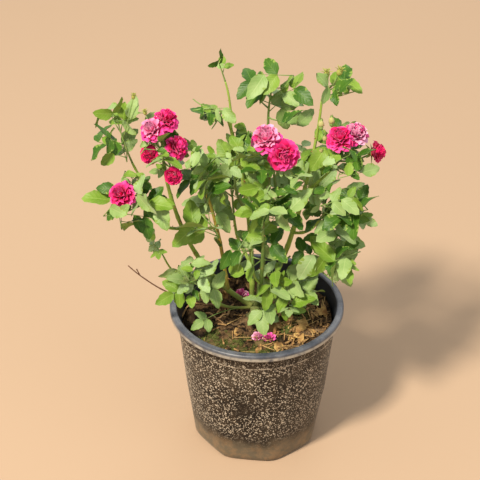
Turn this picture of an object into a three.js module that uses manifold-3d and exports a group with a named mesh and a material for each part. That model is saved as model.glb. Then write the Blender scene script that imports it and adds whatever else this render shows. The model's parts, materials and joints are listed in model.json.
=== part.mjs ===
// A low bushy miniature rose grown in its nursery pot.
// Millimetres, +Z up, origin at the middle of the pot's flat underside, front towards -Y.

import * as THREE from "three";
import { mergeVertices } from "three/addons/utils/BufferGeometryUtils.js";
import Module from "manifold-3d";

const wasm = await Module();
wasm.setup();

// Driving dimensions of the pot
const POT = {
  height: 180,
  rimRadius: 100,
  rimDepth: 8.5,
  rimWidth: 8,
  neckRadius: 93.6,
  ledgeBelowRim: 25,
  ledge: 1.4,
  footRadius: 75.5,
  footRound: 5,
  wall: 2.4,
  floor: 3,
  footFlat: 0.065,
  flatTurn: 15,
  flatsEnd: 70,
  segments: 32,
  drains: 4,
  drainRadius: 4.5,
  drainCircle: 50,
};

// Driving dimensions of the soil
const SOIL = {
  level: 158,
  rise: 4.5,
  roughness: 1.6,
  crownPatch: 26,
  rings: 4,
};

// Driving dimensions of the crown of the plant
const STUMP = {
  foot: [-1, 17, 158.3],
  top: [-1, 18, 171],
  footRadius: 13,
  topRadius: 9,
  spread: 5,
};

const CLEARANCE = 0.3;
const LIMB_SIDES = 6;
const BOUGH_SIDES = 5;
const BOUGH_FOOT = 2.1;
const LIMB_STEP = 36;
const GUARD_STEPS = 10;
const GOLDEN_TURN = (137.5 * Math.PI) / 180;

// Each limb: name, the limb it leaves, where along it, its tip, its bow, foot and tip radius
const LIMBS = [
  ["cane_left", "stump", 0.45, [-100, 2, 350], [-14, 4, -22], 3.2, 1.9],
  ["bough_left_low", "cane_left", 0.7, [-116, -14, 308], [-4, -2, -4], 1.9, 1.3],
  ["bough_left_outer", "cane_left", 0.86, [-136, 6, 364], [-4, 0, -6], 1.7, 1.2],
  ["cane_inner", "cane_left", 0.2, [-56, 3, 326], [2, 2, 6], 2.4, 1.6],
  ["cane_left_mid", "cane_inner", 0.42, [-46, 2, 268], [-3, 0, 3], 1.8, 1.4],
  ["cane_upright", "stump", 0.8, [-32, 34, 401], [8, 6, 0], 3.0, 1.7],
  ["bough_top_spray", "cane_upright", 0.95, [-35, 39, 445], [2, 0, 2], 1.4, 1.0],
  ["bough_centre_left", "cane_upright", 0.5, [-25, 18, 336], [-3, -3, -3], 1.8, 1.3],
  ["cane_rear_left", "cane_upright", 0.2, [-26, 62, 256], [-4, 8, -6], 2.2, 1.5],
  ["cane_back", "stump", 0.7, [12, 48, 380], [6, 14, 0], 3.0, 1.6],
  ["cane_rear_right", "cane_back", 0.35, [38, 62, 276], [2, 4, -4], 2.0, 1.4],
  ["cane_right", "stump", 0.6, [52, -2, 340], [4, -2, -6], 3.6, 2.2],
  ["bough_top_right", "cane_right", 0.92, [67, 8, 438], [3, 2, 4], 2.0, 1.2],
  ["bough_right_flowers", "cane_right", 0.96, [78, -8, 362], [-2, 0, -4], 1.9, 1.4],
  ["bough_centre_flowers", "cane_right", 0.72, [17, -25, 368], [-4, -4, -8], 1.8, 1.4],
  ["bough_right", "cane_right", 0.66, [68, -18, 306], [2, -2, -5], 1.8, 1.4],
  ["cane_right_low", "cane_right", 0.24, [58, -18, 240], [3, -4, -5], 2.0, 1.5],
  ["cane_front", "stump", 0.5, [6, -34, 316], [2, -12, -8], 2.7, 1.6],
  ["bough_centre_low", "cane_front", 0.42, [-5, -18, 243], [-2, -2, -2], 1.5, 1.2],
  ["sprout_left", "stump", 0.35, [-56, -10, 202], [-6, -4, -6], 1.9, 1.3],
  ["sprig_left", "sprout_left", 0.8, [-104, -10, 250], [-6, 0, -6], 1.3, 1.0],
  ["dry_twig", "sprout_left", 0.55, [-143, -26, 250], [-4, -8, -6], 1.1, 0.6],
  ["sprout_centre", "stump", 0.3, [18, -6, 190], [3, -4, -2], 1.7, 1.2],
];

// Each mass: name, its limb, middle and reach of its space, tip of its stem,
// leaves on the stem, side shoots, leaflet length, seed
const MASSES = [
  ["left_outer", "bough_left_outer", [-152, 10, 392], [40, 46, 56], [-150, 10, 416], 3, 3, 34, 138],
  ["left_flowers", "cane_left", [-96, 2, 388], [48, 50, 60], [-101, 4, 400], 4, 2, 27, 80],
  ["left_low", "bough_left_low", [-136, -24, 332], [54, 52, 44], [-138, -26, 342], 3, 3, 37, 93],
  ["left_inner", "cane_inner", [-57, -1, 352], [48, 46, 44], [-60, 0, 362], 4, 2, 34, 9],
  ["left_mid", "cane_left_mid", [-58, 0, 292], [48, 48, 42], [-62, -2, 302], 4, 2, 36, 76],
  ["top_left", "cane_upright", [-54, 34, 409], [50, 36, 25], [-70, 31, 414], 3, 2, 29, 150],
  ["top_spray", "bough_top_spray", [-41, 38, 466], [22, 24, 28], [-40, 39, 462], 2, 0, 20, 57],
  ["centre_left", "bough_centre_left", [-20, 24, 366], [44, 42, 46], [-22, 22, 378], 4, 2, 33, 43],
  ["top", "cane_back", [18, 46, 424], [54, 46, 50], [16, 44, 438], 3, 3, 37, 115],
  ["top_right", "bough_top_right", [84, 8, 458], [40, 34, 31], [80, 8, 458], 3, 2, 31, 89],
  ["centre_flowers", "bough_centre_flowers", [14, -28, 396], [50, 44, 46], [14, -26, 388], 4, 2, 29, 92],
  ["right_flowers", "bough_right_flowers", [92, -8, 388], [60, 48, 44], [90, -8, 380], 3, 3, 32, 36],
  ["right", "bough_right", [86, -26, 330], [58, 50, 44], [88, -24, 334], 3, 3, 35, 104],
  ["centre", "cane_front", [16, -42, 340], [48, 46, 44], [14, -42, 350], 3, 3, 34, 94],
  ["right_low", "cane_right_low", [82, -32, 262], [50, 48, 46], [80, -30, 272], 3, 3, 40, 21],
  ["low_left", "sprout_left", [-74, -20, 222], [50, 44, 40], [-76, -20, 228], 4, 2, 30, 140],
  ["left_sprig", "sprig_left", [-114, -10, 264], [28, 28, 30], [-114, -10, 266], 3, 0, 16, 115],
  ["centre_low", "bough_centre_low", [-6, -16, 268], [48, 44, 40], [-8, -16, 276], 4, 2, 37, 125],
  ["low_centre", "sprout_centre", [30, -16, 214], [50, 44, 40], [32, -16, 222], 4, 2, 35, 44],
  ["rear_left", "cane_rear_left", [-30, 84, 290], [50, 46, 48], [-30, 84, 302], 3, 3, 40, 115],
  ["rear_right", "cane_rear_right", [48, 80, 316], [50, 46, 54], [46, 80, 328], 3, 3, 40, 35],
];

// Each bloom or bud by its mass: middle, diameter, the way it faces
const BLOOMS = {
  left_flowers: [
    [[-113.6, -1, 411], 26, [-0.35, -0.45, 0.8]],
    [[-96.9, 10, 416.7], 26, [0.3, -0.2, 0.9]],
    [[-84.4, 0, 388.1], 25, [0.6, -0.3, 0.6]],
    [[-117.3, 5, 374], 22, [-0.3, -0.7, 0.3]],
    [[-91, -22, 363.5], 21, [-0.2, -0.8, 0.2]],
  ],
  left_low: [[[-147.3, -30, 347], 27, [-0.4, -0.6, 0.7]]],
  centre_flowers: [
    [[8, -25, 414.8], 31, [-0.1, -0.4, 0.9]],
    [[26.8, -38, 398.9], 31, [0.1, -0.8, 0.4]],
  ],
  right_flowers: [
    [[86.1, -15, 409.1], 27, [-0.1, -0.4, 0.9]],
    [[104.8, -4, 408], 26, [0.2, -0.2, 0.9]],
    [[128.2, -5, 383.6], 24, [0.8, -0.3, 0.3]],
    [[66.5, -5, 418], 9, [0, 0, 1]],
    [[77.5, -3, 421], 9, [0, 0, 1]],
  ],
  top_right: [
    [[71, 5, 474], 9, [0, 0, 1]],
    [[85, 5, 476.5], 9, [0.3, 0, 1]],
  ],
};

// How the leaves grow: sizes are shares of the leaflet's length, and pads are in millimetres
const LEAF = {
  tries: 20,
  enough: 5,
  fewest: 2,
  rachis: 1.25,
  outward: 0.6,
  spacing: 0.48,
  limbClear: 2.2,
  wallClear: 0.6,
  bloomClear: 0.54,
  thickness: 0.033,
  rootHalf: 1.2,
  stalkRadius: 0.5,
  stalkEnd: 0.9,
  shootEnd: 1.15,
  pedicelRadius: 1.2,
  stations: [
    { at: 1, hand: 0, part: 1 },
    { at: 0.74, hand: 1, part: 0.88 },
    { at: 0.74, hand: -1, part: 0.88 },
    { at: 0.42, hand: 1, part: 0.72 },
    { at: 0.42, hand: -1, part: 0.72 },
  ],
  outline: [
    [0, 0],
    [0.3, 0.86],
    [0.68, 0.9],
    [1, 0],
    [0.68, -0.9],
    [0.3, -0.86],
  ],
};

// A full-petalled bloom's outline from the calyx over its edge to its middle, in diameters
const BLOOM_OUTLINE = [
  [0, -0.36],
  [0.2, -0.34],
  [0.44, -0.08],
  [0.5, 0.1],
  [0.32, 0.34],
  [0, 0.34],
];
const BLOOM_SIDES = 9;
const BUD_DIAMETER = 12;
const BUD_OUTLINE = [
  [0, -0.75],
  [0.42, -0.5],
  [0.5, 0],
  [0.28, 0.5],
  [0, 0.85],
];
const BUD_SIDES = 5;

const point = (x, y, z) => new THREE.Vector3(x, y, z);
const UP = point(0, 0, 1);
const LIGHT = point(-0.3, -0.75, 0.85).normalize();

// Seeded draws, so that the plant grows the same each time
class Draws {
  constructor(seed) {
    this.state = (seed * 7919 + 104729) % 2147483647;
    this.share();
    this.share();
    this.share();
  }

  share() {
    this.state = (this.state * 48271) % 2147483647;
    return this.state / 2147483647;
  }

  span(low, high) {
    return low + (high - low) * this.share();
  }
}

// A straight run from start to tip with a bow in the middle
class Stretch extends THREE.Curve {
  constructor(start, tip, bow) {
    super();
    this.start = start;
    this.tip = tip;
    this.bow = bow;
  }

  getPoint(t) {
    return this.start.clone().lerp(this.tip, t).addScaledVector(this.bow, 4 * t * (1 - t));
  }

  heading(t) {
    const way = this.tip.clone().sub(this.start);
    return way.addScaledVector(this.bow, 4 * (1 - 2 * t)).normalize();
  }
}

// The crown of the plant and its limbs, each from its place on its parent
function growLimbs() {
  const limbs = new Map();
  const still = point(0, 0, 0);
  const crown = new Stretch(point(...STUMP.foot), point(...STUMP.top), still);
  limbs.set("stump", { name: "stump", curve: crown, foot: STUMP.footRadius, tip: STUMP.topRadius });
  for (const [name, from, share, tip, bow, foot, end] of LIMBS) {
    const start = limbs.get(from).curve.getPoint(share);
    if (from === "stump") {
      const out = point(tip[0] - start.x, tip[1] - start.y, 0).normalize();
      start.addScaledVector(out, STUMP.spread);
    }
    limbs.set(name, { name, curve: new Stretch(start, point(...tip), point(...bow)), foot, tip: end });
  }
  return limbs;
}

// Short straight pieces of every limb, for keeping twigs and leaves off them
function guardPieces(limbs) {
  const pieces = [];
  for (const { curve, foot, tip } of limbs.values()) {
    for (let i = 0; i < GUARD_STEPS; i++) {
      const t = i / GUARD_STEPS;
      const from = curve.getPoint(t);
      const run = curve.getPoint(t + 1 / GUARD_STEPS).sub(from);
      const to = from.clone().add(run);
      pieces.push({ from, to, run, length2: run.lengthSq(), radius: foot + (tip - foot) * t });
    }
  }
  return pieces;
}

function readMasses() {
  return MASSES.map(([name, limb, centre, radii, tip, leaves, shoots, leaflet, seed]) => ({
    name,
    limb,
    centre: point(...centre),
    radii: point(...radii),
    tip: point(...tip),
    leaves,
    shoots,
    leaflet,
    seed,
    size: (radii[0] + radii[1] + radii[2]) / 3,
    blooms: (BLOOMS[name] ?? []).map(([middle, diameter, facing]) => ({
      centre: point(...middle),
      diameter,
      facing: point(...facing).normalize(),
    })),
  }));
}

const limbs = growLimbs();
const guards = guardPieces(limbs);
const masses = readMasses();

// Whether the points keep to the mass's own space: an egg shape, cut off midway to its neighbours
function inside(mass, points, pad) {
  for (const p of points) {
    const x = (p.x - mass.centre.x) / (mass.radii.x - pad);
    const y = (p.y - mass.centre.y) / (mass.radii.y - pad);
    const z = (p.z - mass.centre.z) / (mass.radii.z - pad);
    if (x * x + y * y + z * z > 1) return false;
    const own = p.distanceToSquared(mass.centre) - mass.size ** 2;
    for (const other of masses) {
      if (other === mass) continue;
      const across = 2 * other.centre.distanceTo(mass.centre);
      const gap = (p.distanceToSquared(other.centre) - other.size ** 2 - own) / across;
      if (gap < pad + CLEARANCE / 2 + 0.1) return false;
    }
  }
  return true;
}

// Whether the points keep this far from every limb
function clear(points, pad) {
  const nearest = point(0, 0, 0);
  for (const p of points) {
    for (const { from, run, length2, radius } of guards) {
      const along = nearest.subVectors(p, from).dot(run) / length2;
      const t = Math.min(1, Math.max(0, along));
      nearest.copy(run).multiplyScalar(t).add(from);
      if (nearest.distanceTo(p) < radius + pad) return false;
    }
  }
  return true;
}

const aimAt = (turn, rise) =>
  point(Math.cos(turn) * Math.cos(rise), Math.sin(turn) * Math.cos(rise), Math.sin(rise));

function leafletOutline({ base, along, side, length, width }) {
  return LEAF.outline.map(([share, half]) =>
    base.clone().addScaledVector(along, length * share).addScaledVector(side, (width / 2) * half),
  );
}

// A leaflet's half width at a share of its length, in half widths
const bladeReach = (share) => Math.min((share / 0.3) * 0.86, 0.88, ((1 - share) / 0.32) * 0.9);

// Whether the straight run between two points goes through a leaflet's blade
function crossesBlade(blade, from, to) {
  const above = from.clone().sub(blade.base).dot(blade.normal);
  const below = to.clone().sub(blade.base).dot(blade.normal);
  if (above > 0 === below > 0) return false;
  const at = from.clone().lerp(to, above / (above - below)).sub(blade.base);
  const share = at.dot(blade.along) / blade.length;
  if (share < 0.04 || share > 1) return false;
  return (2 * Math.abs(at.dot(blade.side))) / blade.width < bladeReach(share);
}

function bladesCross(one, other) {
  if (one.middle.distanceTo(other.middle) > (one.length + other.length) * 0.6) return false;
  for (const [edges, blade] of [[one.outline, other], [other.outline, one]]) {
    for (let i = 0; i < edges.length; i++) {
      if (crossesBlade(blade, edges[i], edges[(i + 1) % edges.length])) return true;
    }
    if (crossesBlade(blade, edges[0], edges[3])) return true;
  }
  return false;
}

// Whether a leaflet may grow where it would: in its space, off limbs and blooms, through nothing
function bladeFits(mass, blade, grown) {
  const tested = [...blade.outline.slice(1), blade.middle];
  if (!inside(mass, blade.outline, LEAF.wallClear)) return false;
  const near = (o) => (LEAF.spacing * (blade.length + o.length)) / 2;
  if (grown.blades.some((o) => o.middle.distanceTo(blade.middle) < near(o))) return false;
  if (mass.blooms.some((b) => tested.some((p) => p.distanceTo(b.centre) < b.diameter * LEAF.bloomClear)))
    return false;
  if (!clear(tested, LEAF.limbClear)) return false;
  if (guards.some(({ from, to }) => crossesBlade(blade, from, to))) return false;
  if (grown.stalks.some(([from, to]) => crossesBlade(blade, from, to))) return false;
  return !grown.blades.some((o) => bladesCross(blade, o));
}

// Short straight pieces of a stretch up to a share of it
function piecesOf(curve, share, count) {
  const points = Array.from({ length: count + 1 }, (_, i) => curve.getPoint((share * i) / count));
  return points.slice(1).map((p, i) => [points[i], p]);
}

// One compound leaf: a thin stalk with a leaflet at its end and pairs beside it
function growLeaf(mass, axis, share, aim, scale, draws, grown) {
  const start = axis.getPoint(share);
  const length = mass.leaflet * scale * LEAF.rachis;
  const tip = start.clone().addScaledVector(aim, length);
  const rachis = new Stretch(start, tip, point(0, 0, 0));
  const face = LIGHT.clone().addScaledVector(aim, draws.span(-0.1, 0.5));
  face.x += draws.span(-0.4, 0.4);
  face.y += draws.span(-0.4, 0.4);
  face.z += draws.span(-0.4, 0.4);
  face.normalize();
  const side = aim.clone().cross(face).normalize();
  const normal = side.clone().cross(aim).normalize();
  const leaflets = [];
  let furthest = 0;
  for (const { at, hand, part } of LEAF.stations) {
    const splay = draws.span(0.85, 1.2);
    const roll = draws.span(-0.35, 0.35);
    const droop = draws.span(-0.25, 0.15);
    const long = mass.leaflet * scale * part;
    const wide = long * draws.span(0.58, 0.7);
    const along = aim.clone().multiplyScalar(Math.cos(splay * Math.abs(hand)));
    along.addScaledVector(side, hand * Math.sin(splay)).addScaledVector(normal, droop).normalize();
    const across = normal.clone().cross(along).normalize();
    const tilted = along.clone().cross(across).addScaledVector(across, roll).normalize();
    const blade = { at, hand, base: rachis.getPoint(at), along, normal: tilted, length: long, width: wide };
    blade.side = tilted.clone().cross(along);
    blade.outline = leafletOutline(blade);
    blade.middle = blade.base.clone().addScaledVector(along, long / 2);
    if (!bladeFits(mass, blade, grown)) continue;
    if (leaflets.some((o) => bladesCross(blade, o))) continue;
    leaflets.push(blade);
    furthest = Math.max(furthest, at);
  }
  if (leaflets.length < LEAF.fewest) return null;
  const pieces = piecesOf(rachis, furthest, 10);
  const way = pieces.map(([, to]) => to);
  if (!inside(mass, way, 1.3) || !clear(way, LEAF.limbClear)) return null;
  if (pieces.some(([from, to]) => grown.blades.some((o) => crossesBlade(o, from, to)))) return null;
  return { rachis, furthest, leaflets, side, normal };
}

// Side shoots from the stem towards the walls of the mass's space
function growShoots(mass, limb, stem, draws, firstTurn) {
  const shoots = [{ curve: stem, radius: limb.tip }];
  let turn = firstTurn;
  for (let i = 0; i < mass.shoots; i++) {
    const height = 1 - (2 * i + 1) / mass.shoots + draws.span(-0.25, 0.25);
    turn += GOLDEN_TURN + draws.span(-0.4, 0.4);
    const flat = Math.sqrt(Math.max(0, 1 - height * height));
    const reach = draws.span(0.5, 0.72);
    const target = point(Math.cos(turn) * flat, Math.sin(turn) * flat, height);
    target.multiply(mass.radii).multiplyScalar(reach).add(mass.centre);
    const start = stem.getPoint(0.2 + 0.6 * (1 - (i + 0.5) / mass.shoots));
    let tip = target.clone();
    for (let cut = 0.8, k = 0; k < 6 && !inside(mass, [tip], 4); cut *= 0.8, k++) {
      tip = start.clone().lerp(target, cut);
    }
    const length = start.distanceTo(tip);
    const curve = new Stretch(start, tip, UP.clone().multiplyScalar(-0.06 * length));
    const way = [0.2, 0.4, 0.6, 0.8, 1].map((t) => curve.getPoint(t));
    if (length > mass.size * 0.2 && inside(mass, way, 1.6) && clear(way, 2.2)) {
      shoots.push({ curve, radius: limb.tip * 0.62 });
    }
  }
  return { shoots, turn };
}

// The stalks of a mass's blooms and buds, from high on its stem to under each head
function growPedicels(mass, stem) {
  return mass.blooms.map(({ centre, diameter, facing }, i) => {
    const under = diameter < BUD_DIAMETER ? 0.5 : 0.25;
    const below = centre.clone().addScaledVector(facing, -diameter * under);
    const start = stem.getPoint(0.5 + (0.4 * (i + 0.5)) / mass.blooms.length);
    return new Stretch(start, below, UP.clone().multiplyScalar(-0.1 * start.distanceTo(below)));
  });
}

// One mass: a stem that carries on from its limb, side shoots, and the best leaf at each place
function growMass(mass) {
  const limb = limbs.get(mass.limb);
  const draws = new Draws(mass.seed);
  const heading = limb.curve.heading(1);
  const root = limb.curve.tip.clone().addScaledVector(heading, CLEARANCE);
  const reach = mass.tip.distanceTo(root);
  const control = root.clone().addScaledVector(heading, reach * 0.5);
  const bow = control.sub(root.clone().add(mass.tip).multiplyScalar(0.5)).multiplyScalar(0.5);
  const stem = new Stretch(root, mass.tip, bow);
  const grown = growShoots(mass, limb, stem, draws, draws.span(0, 2 * Math.PI));
  let turn = grown.turn;
  const leaves = [];
  const blades = [];
  const pedicels = growPedicels(mass, stem);
  const stalks = [...grown.shoots.map(({ curve }) => curve), ...pedicels].flatMap((c) => piecesOf(c, 1, 4));
  grown.shoots.forEach(({ curve }, k) => {
    const sites = k === 0 ? mass.leaves : Math.max(2, mass.leaves - 1);
    for (let j = 0; j < sites; j++) {
      const share = 0.12 + (0.88 * (j + 1)) / sites;
      const outward = curve.getPoint(share).sub(mass.centre).divide(mass.radii);
      let best = null;
      for (let tried = 0; tried < LEAF.tries && !(best?.leaflets.length >= LEAF.enough); tried++) {
        turn += GOLDEN_TURN + draws.span(-0.4, 0.4);
        const rise = draws.span(-0.35, 0.8);
        const scale = draws.span(0.72, 1.08);
        let aim = aimAt(turn, rise).addScaledVector(outward, LEAF.outward).normalize();
        if (j === sites - 1 && tried === 0) {
          aim = curve.heading(1).addScaledVector(aim, 0.5).normalize();
        }
        const leaf = growLeaf(mass, curve, share, aim, scale, draws, { blades, stalks });
        if (leaf && (!best || leaf.leaflets.length > best.leaflets.length)) best = leaf;
      }
      if (!best) continue;
      leaves.push(best);
      blades.push(...best.leaflets);
      stalks.push(...piecesOf(best.rachis, best.furthest, 2));
    }
  });
  return { stem, shoots: grown.shoots, pedicels, leaves };
}

// A closed geometry as a solid, and a solid back as a flat-shaded geometry
function toSolid(geometry) {
  const bare = geometry.clone();
  bare.deleteAttribute("normal");
  bare.deleteAttribute("uv");
  const merged = mergeVertices(bare, 1e-4);
  const mesh = new wasm.Mesh({
    numProp: 3,
    vertProperties: new Float32Array(merged.attributes.position.array),
    triVerts: new Uint32Array(merged.index.array),
  });
  return new wasm.Manifold(mesh);
}

function toGeometry(solid) {
  const mesh = solid.getMesh();
  const geometry = new THREE.BufferGeometry();
  geometry.setAttribute("position", new THREE.BufferAttribute(new Float32Array(mesh.vertProperties), 3));
  geometry.setIndex(new THREE.BufferAttribute(new Uint32Array(mesh.triVerts), 1));
  return geometry;
}

// Solids joined two by two, so that each join stays small
function joinAll(solids) {
  let left = solids;
  while (left.length > 1) {
    const next = [];
    for (let i = 0; i < left.length; i += 2) {
      next.push(i + 1 < left.length ? left[i].add(left[i + 1]) : left[i]);
    }
    left = next;
  }
  return left[0];
}

// A round bar bent along a curve, from its foot radius to its tip radius
function bentBar(curve, foot, tip, sides, steps) {
  const bar = new THREE.CylinderGeometry(tip, foot, 1, sides, steps);
  const place = bar.attributes.position;
  const p = point(0, 0, 0);
  for (let i = 0; i < place.count; i++) {
    p.fromBufferAttribute(place, i);
    const t = p.y + 0.5;
    const ahead = curve.heading(t);
    const across = ahead.clone().cross(Math.abs(ahead.z) < 0.9 ? UP : point(1, 0, 0)).normalize();
    const over = across.clone().cross(ahead);
    const at = curve.getPoint(t).addScaledVector(across, p.x).addScaledVector(over, p.z);
    place.setXYZ(i, at.x, at.y, at.z);
  }
  return bar;
}

// The faces of a side leaflet: its root is a quad of the stalk, top edge a0 a1 over bottom edge b0 b1,
// and f1 f2, tip, r2 r1 run round its outline from front to rear
const SIDE_FACES = [
  ["a0", "f1", "a1"],
  ["a0", "r1", "f1"],
  ["r1", "tip", "f1"],
  ["f1", "tip", "f2"],
  ["r1", "r2", "tip"],
  ["b0", "b1", "f2"],
  ["b0", "f2", "r2"],
  ["r2", "f2", "tip"],
  ["b1", "f1", "f2"],
  ["b0", "r2", "r1"],
  ["a1", "f1", "b1"],
  ["a0", "b0", "r1"],
];

// The faces of the leaflet at the stalk's end, whose root is the end's top, right and left corners
const END_FACES = [
  ["top", "r1", "l1"],
  ["l1", "r1", "tip"],
  ["r1", "r2", "tip"],
  ["l1", "tip", "l2"],
  ["l", "l2", "r2"],
  ["r", "l", "r2"],
  ["l2", "tip", "r2"],
  ["r", "r2", "r1"],
  ["l", "l1", "l2"],
  ["top", "r", "r1"],
  ["top", "l1", "l"],
];

// The outline corners of a leaflet, set up and down by turns so that the blade has a thickness
function bladeCorners(blade) {
  const half = (blade.length * LEAF.thickness) / 2;
  return blade.outline.map((p, i) => p.clone().addScaledVector(blade.normal, i % 2 === 1 ? half : -half));
}

// One compound leaf as a single closed body: a three-sided stalk that opens into its leaflets
function leafBody({ rachis, furthest, leaflets, side, normal }) {
  const length = rachis.start.distanceTo(rachis.tip);
  const half = LEAF.rootHalf / length;
  const spots = [];
  const faces = [];
  const add = (p) => spots.push(p) - 1;
  const ring = (t) => {
    const centre = rachis.getPoint(t);
    const radius = LEAF.stalkRadius + (LEAF.stalkEnd - LEAF.stalkRadius) * t;
    const corner = (across, over) =>
      add(centre.clone().addScaledVector(side, radius * across).addScaledVector(normal, radius * over));
    return { top: corner(0, 1), r: corner(0.866, -0.5), l: corner(-0.866, -0.5) };
  };
  const quad = (p, q, s, u) => faces.push([p, q, s], [p, s, u]);
  const sideLeaflet = (blade, rear, front, hand) => {
    const under = hand > 0 ? "r" : "l";
    const corners = bladeCorners(blade);
    const order = hand > 0 ? [1, 2, 3, 4, 5] : [5, 4, 3, 2, 1];
    const [f1, f2, tip, r2, r1] = order.map((i) => add(corners[i]));
    const at = { a0: rear.top, a1: front.top, b0: rear[under], b1: front[under], f1, f2, tip, r2, r1 };
    for (const [p, q, s] of SIDE_FACES) faces.push(hand > 0 ? [at[p], at[q], at[s]] : [at[p], at[s], at[q]]);
  };
  let rear = ring(0);
  faces.push([rear.top, rear.l, rear.r]);
  const join = (front, right, left) => {
    if (right) sideLeaflet(right, rear, front, 1);
    else quad(rear.top, rear.r, front.r, front.top);
    if (left) sideLeaflet(left, rear, front, -1);
    else quad(front.l, rear.l, rear.top, front.top);
    quad(front.r, rear.r, rear.l, front.l);
    rear = front;
  };
  const stations = [...new Set(leaflets.map((o) => o.at))].sort((p, q) => p - q);
  for (const at of stations.filter((s) => s < 1)) {
    join(ring(at - half));
    const beside = (hand) => leaflets.find((o) => o.at === at && o.hand === hand);
    join(ring(at + half), beside(1), beside(-1));
  }
  const last = leaflets.find((o) => o.at === 1);
  if (last) {
    join(ring(1));
    const corners = bladeCorners(last);
    const [l1, l2, tip, r2, r1] = [1, 2, 3, 4, 5].map((i) => add(corners[i]));
    const at = { ...rear, l1, l2, tip, r2, r1 };
    for (const face of END_FACES) faces.push(face.map((name) => at[name]));
  } else faces.push([rear.top, rear.r, rear.l]);
  const body = new THREE.BufferGeometry().setFromPoints(spots);
  body.setIndex(faces.flat());
  return body;
}

// A turned outline standing on a middle point and facing a way
function turnedHead(outline, sides, diameter, centre, facing) {
  const profile = outline.map(([r, z]) => new THREE.Vector2(r * diameter, z * diameter));
  const head = new THREE.LatheGeometry(profile, sides);
  const stand = new THREE.Quaternion().setFromUnitVectors(point(0, 1, 0), facing);
  return head.applyQuaternion(stand).translate(centre.x, centre.y, centre.z);
}

// The stalk and head of each bloom and bud of a mass
function bloomPieces(mass, pedicels) {
  return mass.blooms.flatMap(({ centre, diameter, facing }, i) => {
    const bud = diameter < BUD_DIAMETER;
    const [outline, sides] = bud ? [BUD_OUTLINE, BUD_SIDES] : [BLOOM_OUTLINE, BLOOM_SIDES];
    const head = turnedHead(outline, sides, diameter, centre, facing);
    return [bentBar(pedicels[i], LEAF.stalkRadius, LEAF.pedicelRadius, 3, 2), head];
  });
}

// The whole mass fused into one closed body
function massSolid(mass, { shoots, pedicels, leaves }) {
  const bars = shoots.map(({ curve, radius }, k) =>
    bentBar(curve, k === 0 ? radius : LEAF.stalkRadius * 1.6, LEAF.shootEnd, 3, k === 0 ? 3 : 2),
  );
  const pieces = [...bars, ...leaves.map(leafBody), ...bloomPieces(mass, pedicels)];
  return joinAll(pieces.map(toSolid));
}

// The limbs, each cut clear of the crown and of the limbs made before it
function limbSolids() {
  const made = [];
  const crown = limbs.get("stump");
  const flare = [
    [0, 0],
    [1, 0],
    [0.9, 0.18],
    [0.76, 0.5],
    [0.7, 0.82],
    [0.42, 1],
    [0, 1],
  ];
  const rise = STUMP.top[2] - STUMP.foot[2];
  const stumpAt = (grow) => {
    const profile = flare.map(([r, z], i) => {
      const radius = i === 0 || i === flare.length - 1 ? 0 : STUMP.footRadius * r + grow;
      return new THREE.Vector2(radius, rise * z + (i >= flare.length - 2 ? grow : i < 2 ? -grow : 0));
    });
    const turned = new THREE.LatheGeometry(profile, 10).rotateX(Math.PI / 2);
    const place = turned.attributes.position;
    for (let i = 0; i < place.count; i++) {
      const t = place.getZ(i) / rise;
      const lean = crown.curve.getPoint(Math.min(1, Math.max(0, t)));
      place.setXYZ(i, place.getX(i) + lean.x, place.getY(i) + lean.y, place.getZ(i) + STUMP.foot[2]);
    }
    return toSolid(turned);
  };
  const solids = new Map([["stump", stumpAt(0)]]);
  made.push(stumpAt(CLEARANCE));
  for (const { name, curve, foot, tip } of limbs.values()) {
    if (name === "stump") continue;
    const steps = Math.max(4, Math.round(curve.getLength() / LIMB_STEP), Math.round(curve.bow.length() / 3));
    const sides = foot > BOUGH_FOOT ? LIMB_SIDES : BOUGH_SIDES;
    const barOf = (grow) => toSolid(bentBar(curve, foot + grow, tip + grow, sides, steps));
    solids.set(name, made.reduce((solid, cutter) => solid.subtract(cutter), barOf(0)));
    made.push(barOf(CLEARANCE * 1.25));
  }
  return solids;
}

// How far out the pot's wall stands at a turn, on a foot that is nearly an octagon
function flatShare(turn, height) {
  const part = (turn / (Math.PI / 4)) % 1;
  const corner = Math.abs(((part + 1) % 1) - 0.5) * 2;
  const reach = Math.max(0, 1 - height / POT.flatsEnd);
  return 1 - POT.footFlat * (1 - corner ** 2) * reach;
}

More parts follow.
